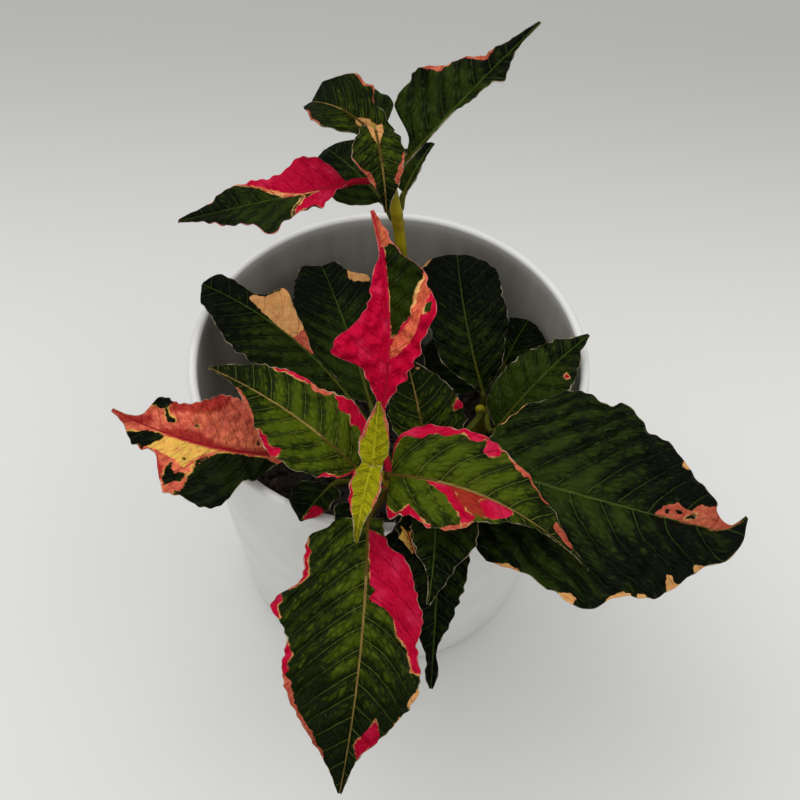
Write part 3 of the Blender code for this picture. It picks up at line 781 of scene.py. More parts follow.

# %% [markdown]
# ## The coloured patches
#
# Joseph's coat leaves are green with sharp-edged sectors of crimson, salmon and cream, often cut off by
# the rib. They could be painted as a picture, but then they would blur from close by. Here each patch
# is an outline on its leaf, drawn in millimetres along the rib and out from it, where the left
# half is negative. A margin streak is only a side, a start, an end and a width.

# %% Patches
EVERYWHERE = ((-50, -60), (150, -60), (150, 60), (-50, 60))
PATCHES = {
    "leaf_front_hanging": (
        ("pink", ((0, 0), (3, -5), (8, -11), (11, -15), (19, -19), (26, -20), (40, -20), (39.5, -15),
                  (33, -13), (30.5, -10.2), (25.5, -8.7), (23, -6), (20.5, -1.2), (19.2, -2), (18, -3.3),
                  (16.5, -1.2), (8, -0.5))),
        ("pink", ((52.5, -6.8), (55, -7.5), (58, -8.5), (61, -6), (65, -3.5), (61, -1.3), (58, -3.5),
                  (55, -5.5))),
        ("cream", ((51, -13), (54, -11.4), (57, -10.8), (58.5, -9), (60, -12), (54, -18))),
    ),
    "leaf_front_young_left": (
        ("pink", ((3, 5), (5, 8), (7, 10), (9, 8.5), (11, 10), (14, 9.5), (16, 11), (18, 12.5), (18, 16),
                  (3, 16))),
        ("pink", ((20.8, -20), (20.8, -13.3), (24, -14), (27, -12.3), (30, -12.5), (30, -20))),
    ),
    "leaf_front_young_right": (
        ("pink", ((10, 0.3), (14, 0.4), (19, 1), (21, 4), (26, 9), (29, 11), (28, 14), (26.5, 17), (25, 12),
                  (21.5, 9), (18, 5), (13, 2))),
        ("blush", ((17, 0.4), (30, 0.4), (28, 4), (31, 9), (27, 10.5), (22, 6))),
        ("pink", ((27.5, 3), (30, 0.3), (37, 0.3), (38, 3), (37, 6), (33, 9), (31, 9), (28, 5))),
        ("pink", ((0, 8), (3, 11.5), (5, 12.2), (8, 10), (11, 12), (14, 14.5), (17, 16), (17, 20), (0, 20))),
        ("pink", ((23, -20), (23, -12), (25.5, -11.5), (27.5, -13), (27.5, -20))),
        ("salmon", ((50, -2.5), (55, -1), (58, -1.2), (56, -4), (50, -5))),
    ),
    "leaf_front_pink_up": (
        ("pink", EVERYWHERE),
        ("dark", ((21, 0.7), (24, 0.5), (48, 1.2), (49, 4), (46, 9), (45, 14), (41, 14), (36, 11), (33, 9),
                  (29, 8.5), (26, 5), (23, 3.5))),
        ("salmon", ((15, 0.6), (19, 0.6), (22, 3), (26, 6.5), (30, 8.5), (34, 9.3), (38, 11.5), (41, 14.5),
                    (36, 15.2), (30, 12.8), (24, 9.8), (18, 5.5))),
        ("cream", ((30, 8.7), (34, 9.5), (37, 11), (40, 13.8), (37, 12.6), (33, 10.6))),
        ("salmon", ((48, -8), (48, 8), (62, 8), (62, -8))),
        ("dark", ((29, 12.6), (32, 13.5), (32.5, 15), (30, 14.6))),
    ),
    "leaf_front_orange_left": (
        ("salmon", EVERYWHERE),
        ("dark", ((5, -3), (8, -1.2), (15, -1), (21, -1), (24, -2.2), (27, -5), (29.5, -8), (30.3, -11),
                  (31, -14.5), (33, -17), (33, -22), (20, -22), (8, -12), (4, -6))),
        ("dark", ((30.5, -10), (32, -13), (34, -14.5), (35.5, -16.5), (37, -13.5), (36.3, -10),
                  (35.2, -7.3), (35, -10), (34, -11.5), (32.5, -10.5))),
        ("dark", ((26.5, -3.4), (28.5, -5), (30.2, -8), (29.6, -8.2), (27.6, -5.4), (25.6, -3.6))),
        ("dark", ((39.7, -1), (40, -3), (43, -5.5), (48, -9), (52, -6), (52, -4), (48, -3), (44, -1.2),
                  (41, -0.5))),
        ("dark", ((32, -5.6), (33.3, -6), (33.2, -7.2), (32, -6.9))),
        ("dark", ((42, 7), (44, 6.2), (48.5, 6), (49, 9), (45, 11), (41, 10))),
        ("dark", ((37.8, 3.4), (40.5, 3.2), (42.8, 6.3), (42.3, 7.4), (40.5, 5.6), (38.5, 4.8))),
        ("dark", ((30, 4.2), (32, 4.2), (31.8, 5.3), (30.2, 5.3))),
        ("dark", ((10, 2.2), (11, 2.4), (11, 3.8), (10, 3.6))),
        ("cream", ((23, -0.9), (27, -3), (30, -5.5), (32, -9), (34.5, -7.6), (36.5, -7), (39, -6.4),
                   (43, -6), (43.5, -5), (41, -3.5), (39.5, -1.5), (38, -0.7), (30, -0.7))),
        ("blush", ((20, 18), (23, 12.5), (27, 9.7), (31, 8.8), (38, 7.3), (41, 7), (42, 12), (30, 18))),
        ("blush", ((6, -0.8), (24, -0.8), (42, -0.5), (42, 0.8), (39, 1.6), (36, 3.2), (31, 3), (27, 2.2),
                   (20, 0.8), (6, 1))),
        ("blush", ((44, 1.5), (48, -0.6), (52, -2.4), (57, -1), (50, 1.2), (46, 4))),
        ("blush", ((36.5, -13), (38, -9), (40.5, -6.8), (44, -7), (42, -12), (38, -16))),
    ),
    "leaf_front_small_orange": (
        ("cream", ((1, -0.2), (6, -0.5), (14, -0.5), (15, 1.5), (10, 4), (7, 1.8), (2, 0.8))),
        ("pink", ((0, -0.3), (5, -0.8), (9, -1.5), (12, -1), (9, -5), (0, -5))),
    ),
    "leaf_right_large": (
        ("salmon", ((58.5, 0.2), (61, -3.5), (65, -5), (69, -3.5), (71.5, -6.8), (74, -6), (78, -8),
                    (80.5, -7), (81, -3), (84, -1), (84, 0.3))),
        ("dark", ((67.6, -1), (70.6, -1.3), (70.6, -3), (68.3, -2.6))),
        ("dark", ((64.2, -3.2), (66.5, -2.8), (66, -1.8), (64.3, -2))),
        ("dark", ((61.6, -1), (63, -1.1), (62.5, -2.4), (61.6, -2))),
        ("cream", ((64.2, -16.8), (66, -16.5), (68, -19), (66, -22), (64, -20))),
        ("cream", ((65, 17.4), (66.5, 17.5), (67.5, 19), (71, 19), (71, 22), (66, 22))),
        ("cream", ((58.5, 25), (60.5, 25), (61, 29), (58, 28.5))),
        ("cream", ((38, 33), (39.5, 31.5), (41, 30.7), (43, 31.5), (43, 35), (38, 35))),
        ("cream", ((72, 13), (74, 13.4), (76, 12.5), (77, 14), (72, 15.5))),
    ),
    "leaf_front_green_up": (
        ("pink", ((11.5, 10.6), (13, 10.4), (14.5, 12.5), (14, 15), (11.5, 15))),
        ("cream", ((26, 2), (27.2, 2), (27.2, 3.2), (26, 3.2))),
    ),
    "leaf_front_over_left_rim": (
        ("salmon", ((16, 0.3), (30, 0.1), (30, 11), (24, 9), (19, 5))),
        ("cream", ((25, 0.4), (30, 0.2), (40, 1.3), (44, 2.8), (43.5, 4.5), (40, 6), (38, 9), (37, 14),
                   (33, 14), (27, 10.5), (24, 5))),
        ("dark", ((21, 4.6), (22, 4.2), (22.6, 5.2), (21.6, 5.6))),
        ("dark", ((24.5, 7), (25.6, 7), (25.8, 8), (24.8, 8))),
    ),
    "leaf_front_inner_left": (
        ("cream", ((42.5, 11), (44, 7.8), (46, 6.8), (51, 7.2), (52, 10), (46, 14), (43, 15))),
    ),
    "leaf_right_over_rim": (
        ("pink", ((27.6, 6), (29.2, 6.3), (29, 8.4), (27.8, 8.3))),
    ),
    "leaf_back_long_left": (
        ("pink", ((-3, -2), (3, -4), (8, -12), (12, -8), (15, -9), (18, -14), (17, -8), (14, -4), (9, -1.5),
                  (15, -0.3), (20, 1), (26, 4.5), (31, 7), (35, 8), (37, 12), (0, 14), (-3, 6))),
        ("salmon", ((9, -1.7), (15, -1.4), (20, -0.2), (28, 4.5), (34, 7.6), (26, 5), (20, 1.6), (15, 0),
                    (9, -1))),
        ("dark", ((13, -2.2), (15, -1.2), (20, 0), (28, 5), (34, 8), (60, 8), (60, -20), (19, -20),
                  (18, -9), (16, -5))),
    ),
    "leaf_back_young_left": (
        ("cream", ((-8, -3), (-2, -3), (1.4, -2.6), (1.8, 0.4), (-1, 2.5), (-8, 3))),
    ),
    "leaf_back_young_front": (
        ("cream", ((-2, -2.5), (1.5, -2), (4, 0), (1.5, 2), (-2, 3))),
    ),
    "leaf_front_dark_left": (
        ("pink", ((11, -0.5), (17, -0.2), (17, -4.5), (11.5, -4.5))),
    ),
}
LEFT_SIDE = -1
RIGHT_SIDE = 1
STREAKS = {
    "leaf_front_hanging": (("pink", RIGHT_SIDE, 4, 20, 1.6), ("pink", RIGHT_SIDE, 21, 28, 2.6),
                           ("pink", RIGHT_SIDE, 34, 44, 1.9), ("salmon", RIGHT_SIDE, 43, 54, 2.2),
                           ("salmon", RIGHT_SIDE, 53, 66, 1.6), ("cream", LEFT_SIDE, 43, 49, 1.4)),
    "leaf_front_young_left": (("pink", LEFT_SIDE, -3, 8, 1.6), ("salmon", LEFT_SIDE, 31, 42, 1.6),
                              ("salmon", RIGHT_SIDE, 18, 25, 2.4), ("pink", RIGHT_SIDE, 24, 36, 1.3)),
    "leaf_front_young_right": (("pink", LEFT_SIDE, -3, 23, 3.2), ("salmon", LEFT_SIDE, 26, 46, 1.3),
                               ("salmon", RIGHT_SIDE, 20, 29, 2.0)),
    "leaf_right_large": (("cream", RIGHT_SIDE, 20, 27, 1.0), ("cream", RIGHT_SIDE, 51, 57, 1.3),
                         ("cream", LEFT_SIDE, 6, 12, 0.8)),
    "leaf_right_inner": (("cream", LEFT_SIDE, 43, 47, 1.2),),
    "leaf_back_long_right": (("salmon", LEFT_SIDE, 25, 32, 2.2), ("salmon", LEFT_SIDE, 35, 44, 1.4)),
    "leaf_back_young_left": (("salmon", LEFT_SIDE, 8, 15, 1.2), ("salmon", RIGHT_SIDE, 0, 9, 1.6)),
    "leaf_back_young_front": (("salmon", LEFT_SIDE, 8, 18, 1.6), ("salmon", RIGHT_SIDE, 8, 18, 1.4)),
    "leaf_front_bud_up": (("salmon", LEFT_SIDE, 0, 15, 1.2), ("salmon", RIGHT_SIDE, 3, 16, 0.9)),
    "leaf_front_bud_down": (("salmon", LEFT_SIDE, -1, 9, 1.0), ("pink", RIGHT_SIDE, 0, 12, 0.9)),
}
print("leaves with patches:", len(PATCHES), "with margin streaks:", len(STREAKS))

# %% [markdown]
# ## The leaf surface
#
# A blade is hardly thicker than paper, so its shape is all in how it bends. A blade could be bent out of
# a flat sheet with modifiers, but then it would be hard to hold to its solid. Here its rib is a curve
# from base to tip, and each half is a width at every point of that curve.

# %% Leaf curves
STALK_HALF_WIDTH = 1.0
STALK_GAP = 0.45
TIP_HALF_WIDTH = 0.5
HOOK_START = 0.9
LEAF_PHASE = 0.37
SIDE_PHASE = 0.4
EDGE_WAVE = 0.05
SHEATH_WIDTH = 0.7


def smooth_step(value, low, high):
    share = np.clip((value - low) / (high - low), 0, 1)
    return share * share * (3 - 2 * share)


def smooth_through(points, along):
    """Heights at these distances of the smooth curve through (distance, height) points."""
    knots = np.array(points, float)
    index = np.searchsorted(knots[1:-1, 0], along)
    first = knots[index]
    second = knots[index + 1]
    before = knots[np.maximum(index - 1, 0)]
    after = knots[np.minimum(index + 2, len(knots) - 1)]
    span = second[..., 0] - first[..., 0]
    rising = second[..., 1] - first[..., 1]
    slope_in = (second[..., 1] - before[..., 1]) / (second[..., 0] - before[..., 0])
    slope_out = (after[..., 1] - first[..., 1]) / (after[..., 0] - first[..., 0])
    part = (along - first[..., 0]) / span
    swell = (1 - part) * (slope_in * span - rising) + part * (rising - slope_out * span)
    return first[..., 1] + rising * part + part * (1 - part) * swell


def curve_points(first, middle, last, share):
    """Points on the quadratic curve from first to last that middle pulls."""
    share = np.asarray(share, float)[:, None]
    rest = 1 - share
    return rest * rest * first + 2 * rest * share * middle + share * share * last


def unit(vectors):
    return vectors / np.linalg.norm(vectors, axis=-1, keepdims=True)


def leaf_guides(leaf):
    """Places in the stem, at the stalk's start and middle, and at the blade's base, middle and tip, and
    the sideways direction."""
    centre = stem_centre(leaf.stem, leaf.height)
    axis = (stem_centre(leaf.stem, leaf.height + 1) - centre).normalized()
    towards = Vector(leaf.base) - centre
    outward = (towards - towards.dot(axis) * axis).normalized()
    lean = abs(towards.normalized().dot(axis))
    start = centre + outward * (stem_radius(leaf.stem, leaf.height) + STALK_HALF_WIDTH * lean + STALK_GAP)
    base = Vector(leaf.base)
    tip = Vector(leaf.tip)
    chord = tip - base
    sideways = chord.cross(Vector((0, 0, 1))).normalized()
    upward = sideways.cross(chord.normalized())
    middle = base + chord / 2 + 2 * leaf.arch * upward + 2 * leaf.bend * sideways
    stalk_middle = base - (middle - base).normalized() * (base - start).length * leaf.bow
    inside = centre + outward * 0.4 * stem_radius(leaf.stem, leaf.height)
    return [np.array(guide) for guide in (inside, start, stalk_middle, base, middle, tip, sideways)]


def blade_length(leaf):
    """Length of the blade's rib, taken as an arc of its chord and its arch."""
    chord = (Vector(leaf.tip) - Vector(leaf.base)).length
    return chord + 8 * (leaf.arch**2 + leaf.bend**2) / (3 * chord)


def rib_line(leaf, share):
    """Places on the rib, with the directions across the blade to its right and up from it."""
    base, middle, tip, sideways = leaf_guides(leaf)[3:]
    hooked = np.clip((share - HOOK_START) / (1 - HOOK_START), 0, 1)
    places = curve_points(base, middle, tip, share) + sideways * (leaf.hook * hooked * hooked)[:, None]
    ahead = unit(np.gradient(places, axis=0))
    across = unit(sideways - (ahead @ sideways)[:, None] * ahead)
    roll = -np.radians(leaf.rolls[0] + (leaf.rolls[1] - leaf.rolls[0]) * share)[:, None]
    across = across * np.cos(roll) + np.cross(ahead, across) * np.sin(roll)
    return places, across, np.cross(across, ahead)


def half_widths(leaf, share, side):
    """Widths of the left half, side 0, or the right half, side 1, at these shares of the rib."""
    length = blade_length(leaf)
    margin = (leaf.left, leaf.right)[side]
    start = (-leaf.sheath, SHEATH_WIDTH * margin[0][1]) if leaf.sheath else (0, STALK_HALF_WIDTH)
    points = (start, *margin, (length, TIP_HALF_WIDTH))
    least = STALK_HALF_WIDTH + (TIP_HALF_WIDTH - STALK_HALF_WIDTH) * share
    return np.maximum(least, smooth_through(points, share * length))


print("longest blade:", round(max(blade_length(leaf) for leaf in LEAVES), 1), "mm")

# %% [markdown]
# ## The relief between the veins
#
# The side veins hold the blade down, and the green between them swells up like a quilt, with small
# puckers in it and a frilled margin. A bump in the material could fake this, but it would be flat from
# the side. The quilting is real relief here, half a millimetre high, because it catches the light on
# every leaf.

# %% Leaf relief
VEIN_LEAN = 0.5
VEIN_CURL = 0.022
VEIN_SWAY = 0.09
SWAY_SEED = 500
RIB_GROOVE = 0.3
LADDER_STEP = 2.8
LADDER_SEED = 200
FRILL_SEED = 100
FRILL = 0.45


def ripples(x, y, size, seed):
    """A smooth uneven surface about 1 high: a few crossing waves of about this size."""
    draw = np.random.default_rng(seed)
    total = np.zeros(np.shape(x))
    for _ in range(6):
        angle = draw.uniform(0, 2 * pi)
        pitch = 2 * pi / (size * draw.uniform(0.7, 1.4))
        total += np.sin((x * cos(angle) + y * sin(angle)) * pitch + draw.uniform(0, 2 * pi))
    return total / 2.4


def vein_places(leaf, x, y):
    """A count that grows by one from each side vein to the next. Veins leave the rib at a slant."""
    spacing = blade_length(leaf) / leaf.veins
    stagger = 0.5 * smooth_step(y, -0.4, 0.4)
    sway = VEIN_SWAY * ripples(x, y, 26, SWAY_SEED + leaf.veins) * smooth_step(np.abs(y), 0, 8)
    return (x - VEIN_LEAN * np.abs(y) - VEIN_CURL * y * y) / spacing + stagger + sway


def vein_distance(leaf, places):
    """How far a point lies from the nearest side vein, in millimetres."""
    return (0.5 - np.abs(places % 1 - 0.5)) * blade_length(leaf) / leaf.veins


def relief(leaf, seed, x, y, margin, veins):
    """How far the surface stands off its smooth middle: quilting, puckers, rib groove and frilled edge."""
    out = np.abs(y)
    quilt = np.sin(pi * (veins % 1)) ** 0.8 * smooth_step(out, 0.3, 3.5) * smooth_step(margin, 0, 4)
    steps = out / LADDER_STEP + 0.4 * ripples(x, y, 7, seed + LADDER_SEED)
    ladder = np.sin(pi * (steps % 1)) ** 0.7 * smooth_step(out, 1, 3) * smooth_step(margin, 0, 3)
    pucker = ripples(x, y, 4.5, seed) * smooth_step(out, 0.3, 4)
    edge = (1 - smooth_step(margin, 0, 4.5)) * smooth_step(out, 1, 6)
    frill = FRILL * ripples(x, y, 7, seed + FRILL_SEED) * edge
    groove = RIB_GROOVE * np.exp(-((y / 0.7) ** 2))
    return leaf.bulge * (quilt + 0.35 * ladder) + leaf.crinkle * pucker + frill - groove


for leaf in LEAVES[:6]:
    print(leaf.name, "side veins", round(blade_length(leaf) / leaf.veins, 1), "mm apart")

# %% [markdown]
# ## From outlines to distances
#
# A patch's edge must stay sharp at any size of picture. So each point of the leaf stores how far it
# lies inside or outside each colour's patches, and the material turns that distance into a clean edge,
# frays it with noise, or draws a line along it.

# %% Patch distances
FAR_OUT = 20.0
STREAK_SEED = 60


def reach_inside(outline, x, y):
    """Distance from each point to the outline's edge, positive inside it."""
    nearest = np.full(x.shape, np.inf)
    inside = np.zeros(x.shape, bool)
    for (ax, ay), (bx, by) in zip(outline, outline[1:] + outline[:1]):
        dx = bx - ax
        dy = by - ay
        share = np.clip(((x - ax) * dx + (y - ay) * dy) / (dx * dx + dy * dy), 0, 1)
        nearest = np.minimum(nearest, np.hypot(x - ax - share * dx, y - ay - share * dy))
        if dy:
            crossed = (y > ay) != (y > by)
            inside ^= crossed & (x < ax + dx * (y - ay) / dy)
    return np.where(inside, nearest, -nearest)


def patch_reach(leaf, colour, x, y, margin):
    """How deep each point lies in this leaf's patches of one colour, in millimetres."""
    reach = np.full(x.shape, -FAR_OUT)
    for kind, outline in PATCHES.get(leaf.name, ()):
        if kind == colour:
            reach = np.maximum(reach, reach_inside(outline, x, y))
    for kind, side, first, last, width in STREAKS.get(leaf.name, ()):
        if kind == colour:
            middle = (first + last) / 2
            taper = np.sqrt(np.clip(1 - ((x - middle) / (last - middle)) ** 2, 0, 1))
            ragged = 0.85 + 0.3 * ripples(x, np.zeros_like(x), 5.5, first + STREAK_SEED)
            streak = np.minimum(width * taper * ragged - margin, 2 * np.minimum(x - first, last - x))
            reach = np.maximum(reach, np.where(y * side > 0, streak, -FAR_OUT))
    return np.clip(reach, -FAR_OUT, FAR_OUT)


print("patches:", sum(len(outlines) for outlines in PATCHES.values()))

# %% [markdown]
# ## Leaf colours
#
# All leaves share one way of colouring: a green ground that varies in broad clouds and pales along the
# veins, then salmon, cream, pink and green patches over it, each with a frayed edge, the pink and green
# ones with a thin pale line, then the rib and the margin. That is one node group. The five kinds of leaf
# use it with their own colours, and each leaf's own patches reach it as attributes.

# %% Leaf colour group
LEAF_COLOURS = ("Deep Green", "Light Green", "Vein", "Rib", "Pink", "Deep Pink", "Salmon", "Red",
                "Cream", "Edge", "Stalk")
# Lighter pinks, painted highlights on the pink patches
PINK_HIGHLIGHT = (0.74, 0.03, 0.10)
PINK_FLECK_HIGHLIGHT = (0.74, 0.05, 0.11)


def leaf_colour_group():
    """Colour, roughness and bump height of a leaf, from the values that its points store."""
    tree = bpy.data.node_groups.new("leaf_colours", "ShaderNodeTree")
    for name in LEAF_COLOURS:
        tree.interface.new_socket(name, in_out="INPUT", socket_type="NodeSocketColor")
    tree.interface.new_socket("Colour", in_out="OUTPUT", socket_type="NodeSocketColor")
    for name in ("Roughness", "Height"):
        tree.interface.new_socket(name, in_out="OUTPUT", socket_type="NodeSocketFloat")
    given = tree.nodes.new("NodeGroupInput").outputs

    # What the points store, in millimetres on the flat leaf
    place = value_of(tree, "leaf_mm", "Vector")
    rib = value_of(tree, "rib_mm")
    margin = value_of(tree, "margin_mm")
    share = value_of(tree, "share")
    count = value_of(tree, "vein_place")
    tone = value_of(tree, "tone")

    # Veins, the net of small veins between them, and noise of several sizes
    from_vein = calculate(tree, "PINGPONG", count, 0.5)
    vein = rise(tree, from_vein, 0.006, 0.04, 1, 0)
    groove = rise(tree, from_vein, 0.04, 0.15, 1, 0)
    crest = rise(tree, from_vein, 0.12, 0.42)
    across = calculate(tree, "MULTIPLY", axis_of(tree, place, "Y"), 0.42)
    net = tree.nodes.new("ShaderNodeTexVoronoi")
    net.feature = "DISTANCE_TO_EDGE"
    net_place = joined(tree, calculate(tree, "MULTIPLY", count, 3.0), across, axis_of(tree, place, "Z"))
    plug(tree, net.inputs["Vector"], net_place)
    plug(tree, net.inputs["Scale"], 1.0)
    pillow = rise(tree, net.outputs["Distance"], 0.0, 0.3)
    net_line = rise(tree, net.outputs["Distance"], 0.0, 0.07, 1, 0)
    cloud = mottle(tree, place, 0.14, 3)
    fleck = mottle(tree, place, 0.6, 5, 0.68)
    fine = mottle(tree, place, 1.5, 3, 0.6)
    fray = wobble(tree, place, 0.5, 5, 0.62, 2.2)

    # Green: painted highlight and shade of the relief, paler on the quilting and in small flecks and darker
    # in the grooves at the veins; also darker towards the tip and far from the rib
    lit = weigh(tree, (cloud, 0.5), (fleck, 0.4), (crest, 0.14), (pillow, 0.14), (groove, -0.09),
                (tone, 0.35), (rise(tree, share, 0.4, 0.85, 0.06, -0.2), 1),
                (rise(tree, rib, 3, 20, 0.05, -0.08), 1))
    ground = blend(tree, rise(tree, lit, 0.4, 0.8), given["Deep Green"], given["Light Green"])
    ground = blend(tree, calculate(tree, "MULTIPLY", net_line, 0.12), ground, given["Light Green"])
    # Painted highlight: small glints of vein colour on the quilt tops
    glint = calculate(tree, "MULTIPLY", rise(tree, fleck, 0.56, 0.72, 0, 0.3), pillow)
    ground = blend(tree, glint, ground, given["Vein"])
    near_rib = rise(tree, rib, 18, 1, 0.3, 0.85)
    fading = calculate(tree, "MULTIPLY", near_rib, rise(tree, fleck, 0.3, 0.6, 0.4, 1))
    veined = blend(tree, calculate(tree, "MULTIPLY", vein, fading), ground, given["Vein"])

    # Salmon, pink and cream, each with clouds and flecks of its neighbours. The pink also has painted
    # highlights, lighter where the clouds are thin and in small flecks
    warm = blend(tree, rise(tree, cloud, 0.4, 0.7, 0, 0.12), given["Salmon"], given["Cream"])
    warm = blend(tree, rise(tree, fleck, 0.40, 0.58, 0.5, 0), warm, given["Red"])
    warm = blend(tree, calculate(tree, "MULTIPLY", vein, 0.3), warm, given["Red"])
    warm = blend(tree, rise(tree, fine, 0.62, 0.8, 0, 0.15), warm, given["Cream"])
    hot = blend(tree, rise(tree, cloud, 0.45, 0.75), given["Pink"], given["Deep Pink"])
    # Painted highlight: lighter pink where the clouds are thin
    hot = blend(tree, rise(tree, cloud, 0.48, 0.32, 0, 0.5), hot, PINK_HIGHLIGHT)
    hot = blend(tree, calculate(tree, "MULTIPLY", vein, 0.3), hot, given["Deep Pink"])
    # Painted highlight: small lighter pink flecks
    hot = blend(tree, rise(tree, fleck, 0.55, 0.75, 0, 0.15), hot, PINK_FLECK_HIGHLIGHT)
    hot = blend(tree, rise(tree, fine, 0.66, 0.82, 0, 0.12), hot, given["Salmon"])
    pale = blend(tree, rise(tree, fleck, 0.45, 0.7, 0, 0.55), given["Cream"], given["Salmon"])

    def patch(name, under, over):
        """Lays a colour over what is under it where this patch reaches. Gives its cover and edge too."""
        reach = calculate(tree, "ADD", value_of(tree, name), fray)
        cover = rise(tree, reach, -0.12, 0.12)
        line = rise(tree, calculate(tree, "ABSOLUTE", reach), 0.08, 0.36, 1, 0)
        return blend(tree, cover, under, over), cover, line

    # The patches, one over the other. Blush is a soft flush of red, the others have a sharp edge
    colour, _, pink_line = patch("pink_mm", veined, hot)
    colour, _, _ = patch("salmon_mm", colour, warm)
    colour, _, _ = patch("cream_mm", colour, pale)
    flush = weigh(tree, (value_of(tree, "blush_mm"), 1), (fray, 1.5))
    colour = blend(tree, rise(tree, flush, -0.9, 0.9, 0, 0.85), colour, given["Red"])
    colour, dark_cover, dark_line = patch("dark_mm", colour, veined)

    # The rib, the broken pale line along the patches, the margin and the stalk
    rib_width = rise(tree, share, 0, 1, 0.5, 0.2)
    on_rib = rise(tree, calculate(tree, "DIVIDE", rib, rib_width), 0.55, 1.05, 0.9, 0)
    colour = blend(tree, on_rib, colour, blend(tree, dark_cover, given["Rib"], given["Vein"]))
    lines = calculate(tree, "MAXIMUM", pink_line, dark_line)
    broken = rise(tree, mottle(tree, place, 0.22, 2), 0.42, 0.62, 0.0, 0.75)
    colour = blend(tree, calculate(tree, "MULTIPLY", lines, broken), colour, given["Cream"])
    # The pale line along the margin: partly the leaf's own paler edge, partly a painted edge highlight
    ragged_margin = calculate(tree, "ADD", margin, wobble(tree, place, 0.35, 3, 0.5, 1.3))
    along_edge = rise(tree, cloud, 0.42, 0.6, 0.12, 1)
    shown = calculate(tree, "MULTIPLY", rise(tree, ragged_margin, 0.06, 0.26, 0.85, 0), along_edge)
    colour = blend(tree, shown, colour, given["Edge"])
    colour = blend(tree, value_of(tree, "stalk"), colour, given["Stalk"])

    # The whole leaf lighter or darker, in broad clouds, and darker towards the tip
    light = weigh(tree, (tone, 0.4), (rise(tree, mottle(tree, place, 0.07, 2), 0.3, 0.7, 0.9, 1.1), 1),
                  (rise(tree, share, 0.55, 0.95, 0, -0.3), 1))
    shade = tree.nodes.new("ShaderNodeCombineColor")
    for socket in shade.inputs:
        plug(tree, socket, light)
    colour = blend(tree, 1.0, colour, shade.outputs[0], kind="MULTIPLY")

    out = tree.nodes.new("NodeGroupOutput")
    plug(tree, out.inputs["Colour"], colour)
    roughness = weigh(tree, (rise(tree, fine, 0.2, 0.8, 0.36, 0.52), 1), (net_line, 0.05))
    plug(tree, out.inputs["Roughness"], roughness)
    plug(tree, out.inputs["Height"], weigh(tree, (pillow, 0.7), (fine, 0.6), (vein, -0.6)))
    return tree


def leaf_material(slot, group, colours):
    """The group in a material of its own, with this kind of leaf's colours."""
    made = colour_material(slot, colours["Deep Green"], 0.45, specular=0.045)
    placed = made.node_tree.nodes.new("ShaderNodeGroup")
    placed.node_tree = group
    for name in LEAF_COLOURS:
        placed.inputs[name].default_value = (*colours[name], 1)
    finish_shader(made, *placed.outputs, depth=0.0004, strength=0.9)
    return made


COMMON = {
    "Pink": (0.50, 0.0015, 0.032),
    "Deep Pink": (0.40, 0.001, 0.020),
    "Salmon": (0.58, 0.13, 0.07),
    "Red": (0.36, 0.015, 0.016),
    "Cream": (0.74, 0.38, 0.13),
    # Edge is the pale margin line, partly a painted edge highlight
    "Edge": (0.46, 0.37, 0.25),
}
KINDS = {
    "leaf_dark": {"Deep Green": (0.0012, 0.0028, 0.0006), "Light Green": (0.021, 0.038, 0.003),
                  "Vein": (0.05, 0.085, 0.014), "Rib": (0.06, 0.10, 0.016), "Stalk": (0.08, 0.085, 0.01)},
    "leaf_green": {"Deep Green": (0.0045, 0.0105, 0.0008), "Light Green": (0.068, 0.098, 0.003),
                   "Vein": (0.17, 0.19, 0.03), "Rib": (0.32, 0.21, 0.06), "Stalk": (0.10, 0.065, 0.010)},
    "leaf_bud": {"Deep Green": (0.20, 0.20, 0.004), "Light Green": (0.34, 0.32, 0.005),
                 "Vein": (0.38, 0.35, 0.01), "Rib": (0.46, 0.42, 0.02), "Stalk": (0.36, 0.34, 0.01)},
    "leaf_pink": {"Deep Green": (0.0020, 0.0048, 0.0005), "Light Green": (0.018, 0.032, 0.002),
                  "Vein": (0.045, 0.075, 0.01), "Rib": (0.60, 0.012, 0.06), "Stalk": (0.36, 0.006, 0.022),
                  "Edge": (0.70, 0.20, 0.21),
                  "Salmon": (0.74, 0.15, 0.07), "Cream": (0.84, 0.48, 0.17)},
    "leaf_salmon": {"Deep Green": (0.001, 0.0022, 0.0005), "Light Green": (0.012, 0.020, 0.003),
                    "Vein": (0.028, 0.048, 0.009), "Rib": (0.40, 0.010, 0.022), "Stalk": (0.30, 0.02, 0.02),
                    "Salmon": (0.84, 0.17, 0.10), "Cream": (0.90, 0.54, 0.10)},
}
group = leaf_colour_group()
leaf_finishes = {slot: leaf_material(slot, group, {**COMMON, **kind}) for slot, kind in KINDS.items()}
print("leaf finishes:", ", ".join(leaf_finishes))

# %% [markdown]
# ## Making the leaves
#
# A leaf is made of its two faces, joined round the edge, and a round stalk that grows out of the stem
# and runs on under the blade as the ridge of the rib. Everything that the colours need is measured
# here on the flat leaf and stored on its points.

# %% Leaf pieces
CELL = 0.55
LEAST_CELLS = 6
CROWDING = 1.1
MARGIN_RAG = 0.35
RAG_SEED = 300
BLADE_HALF_THICK = 0.16
EDGE_HALF_THICK = 0.09
RIB_RIDGE = 0.5
VEIN_RIDGE = 0.14
STALK_SIDES = 14
STALK_RINGS = 24
SINK_RINGS = 6
RIDGE_RINGS = 17
RIDGE_REACH = 14
RIB_POINTS = 200
STALK_RADII = (1.25, 1.15, 0.9, 0.85, 0.35)
OFF_LEAF = -40
FAR_FROM_EDGE = 10.0
LEAF_SPACING = 37.0


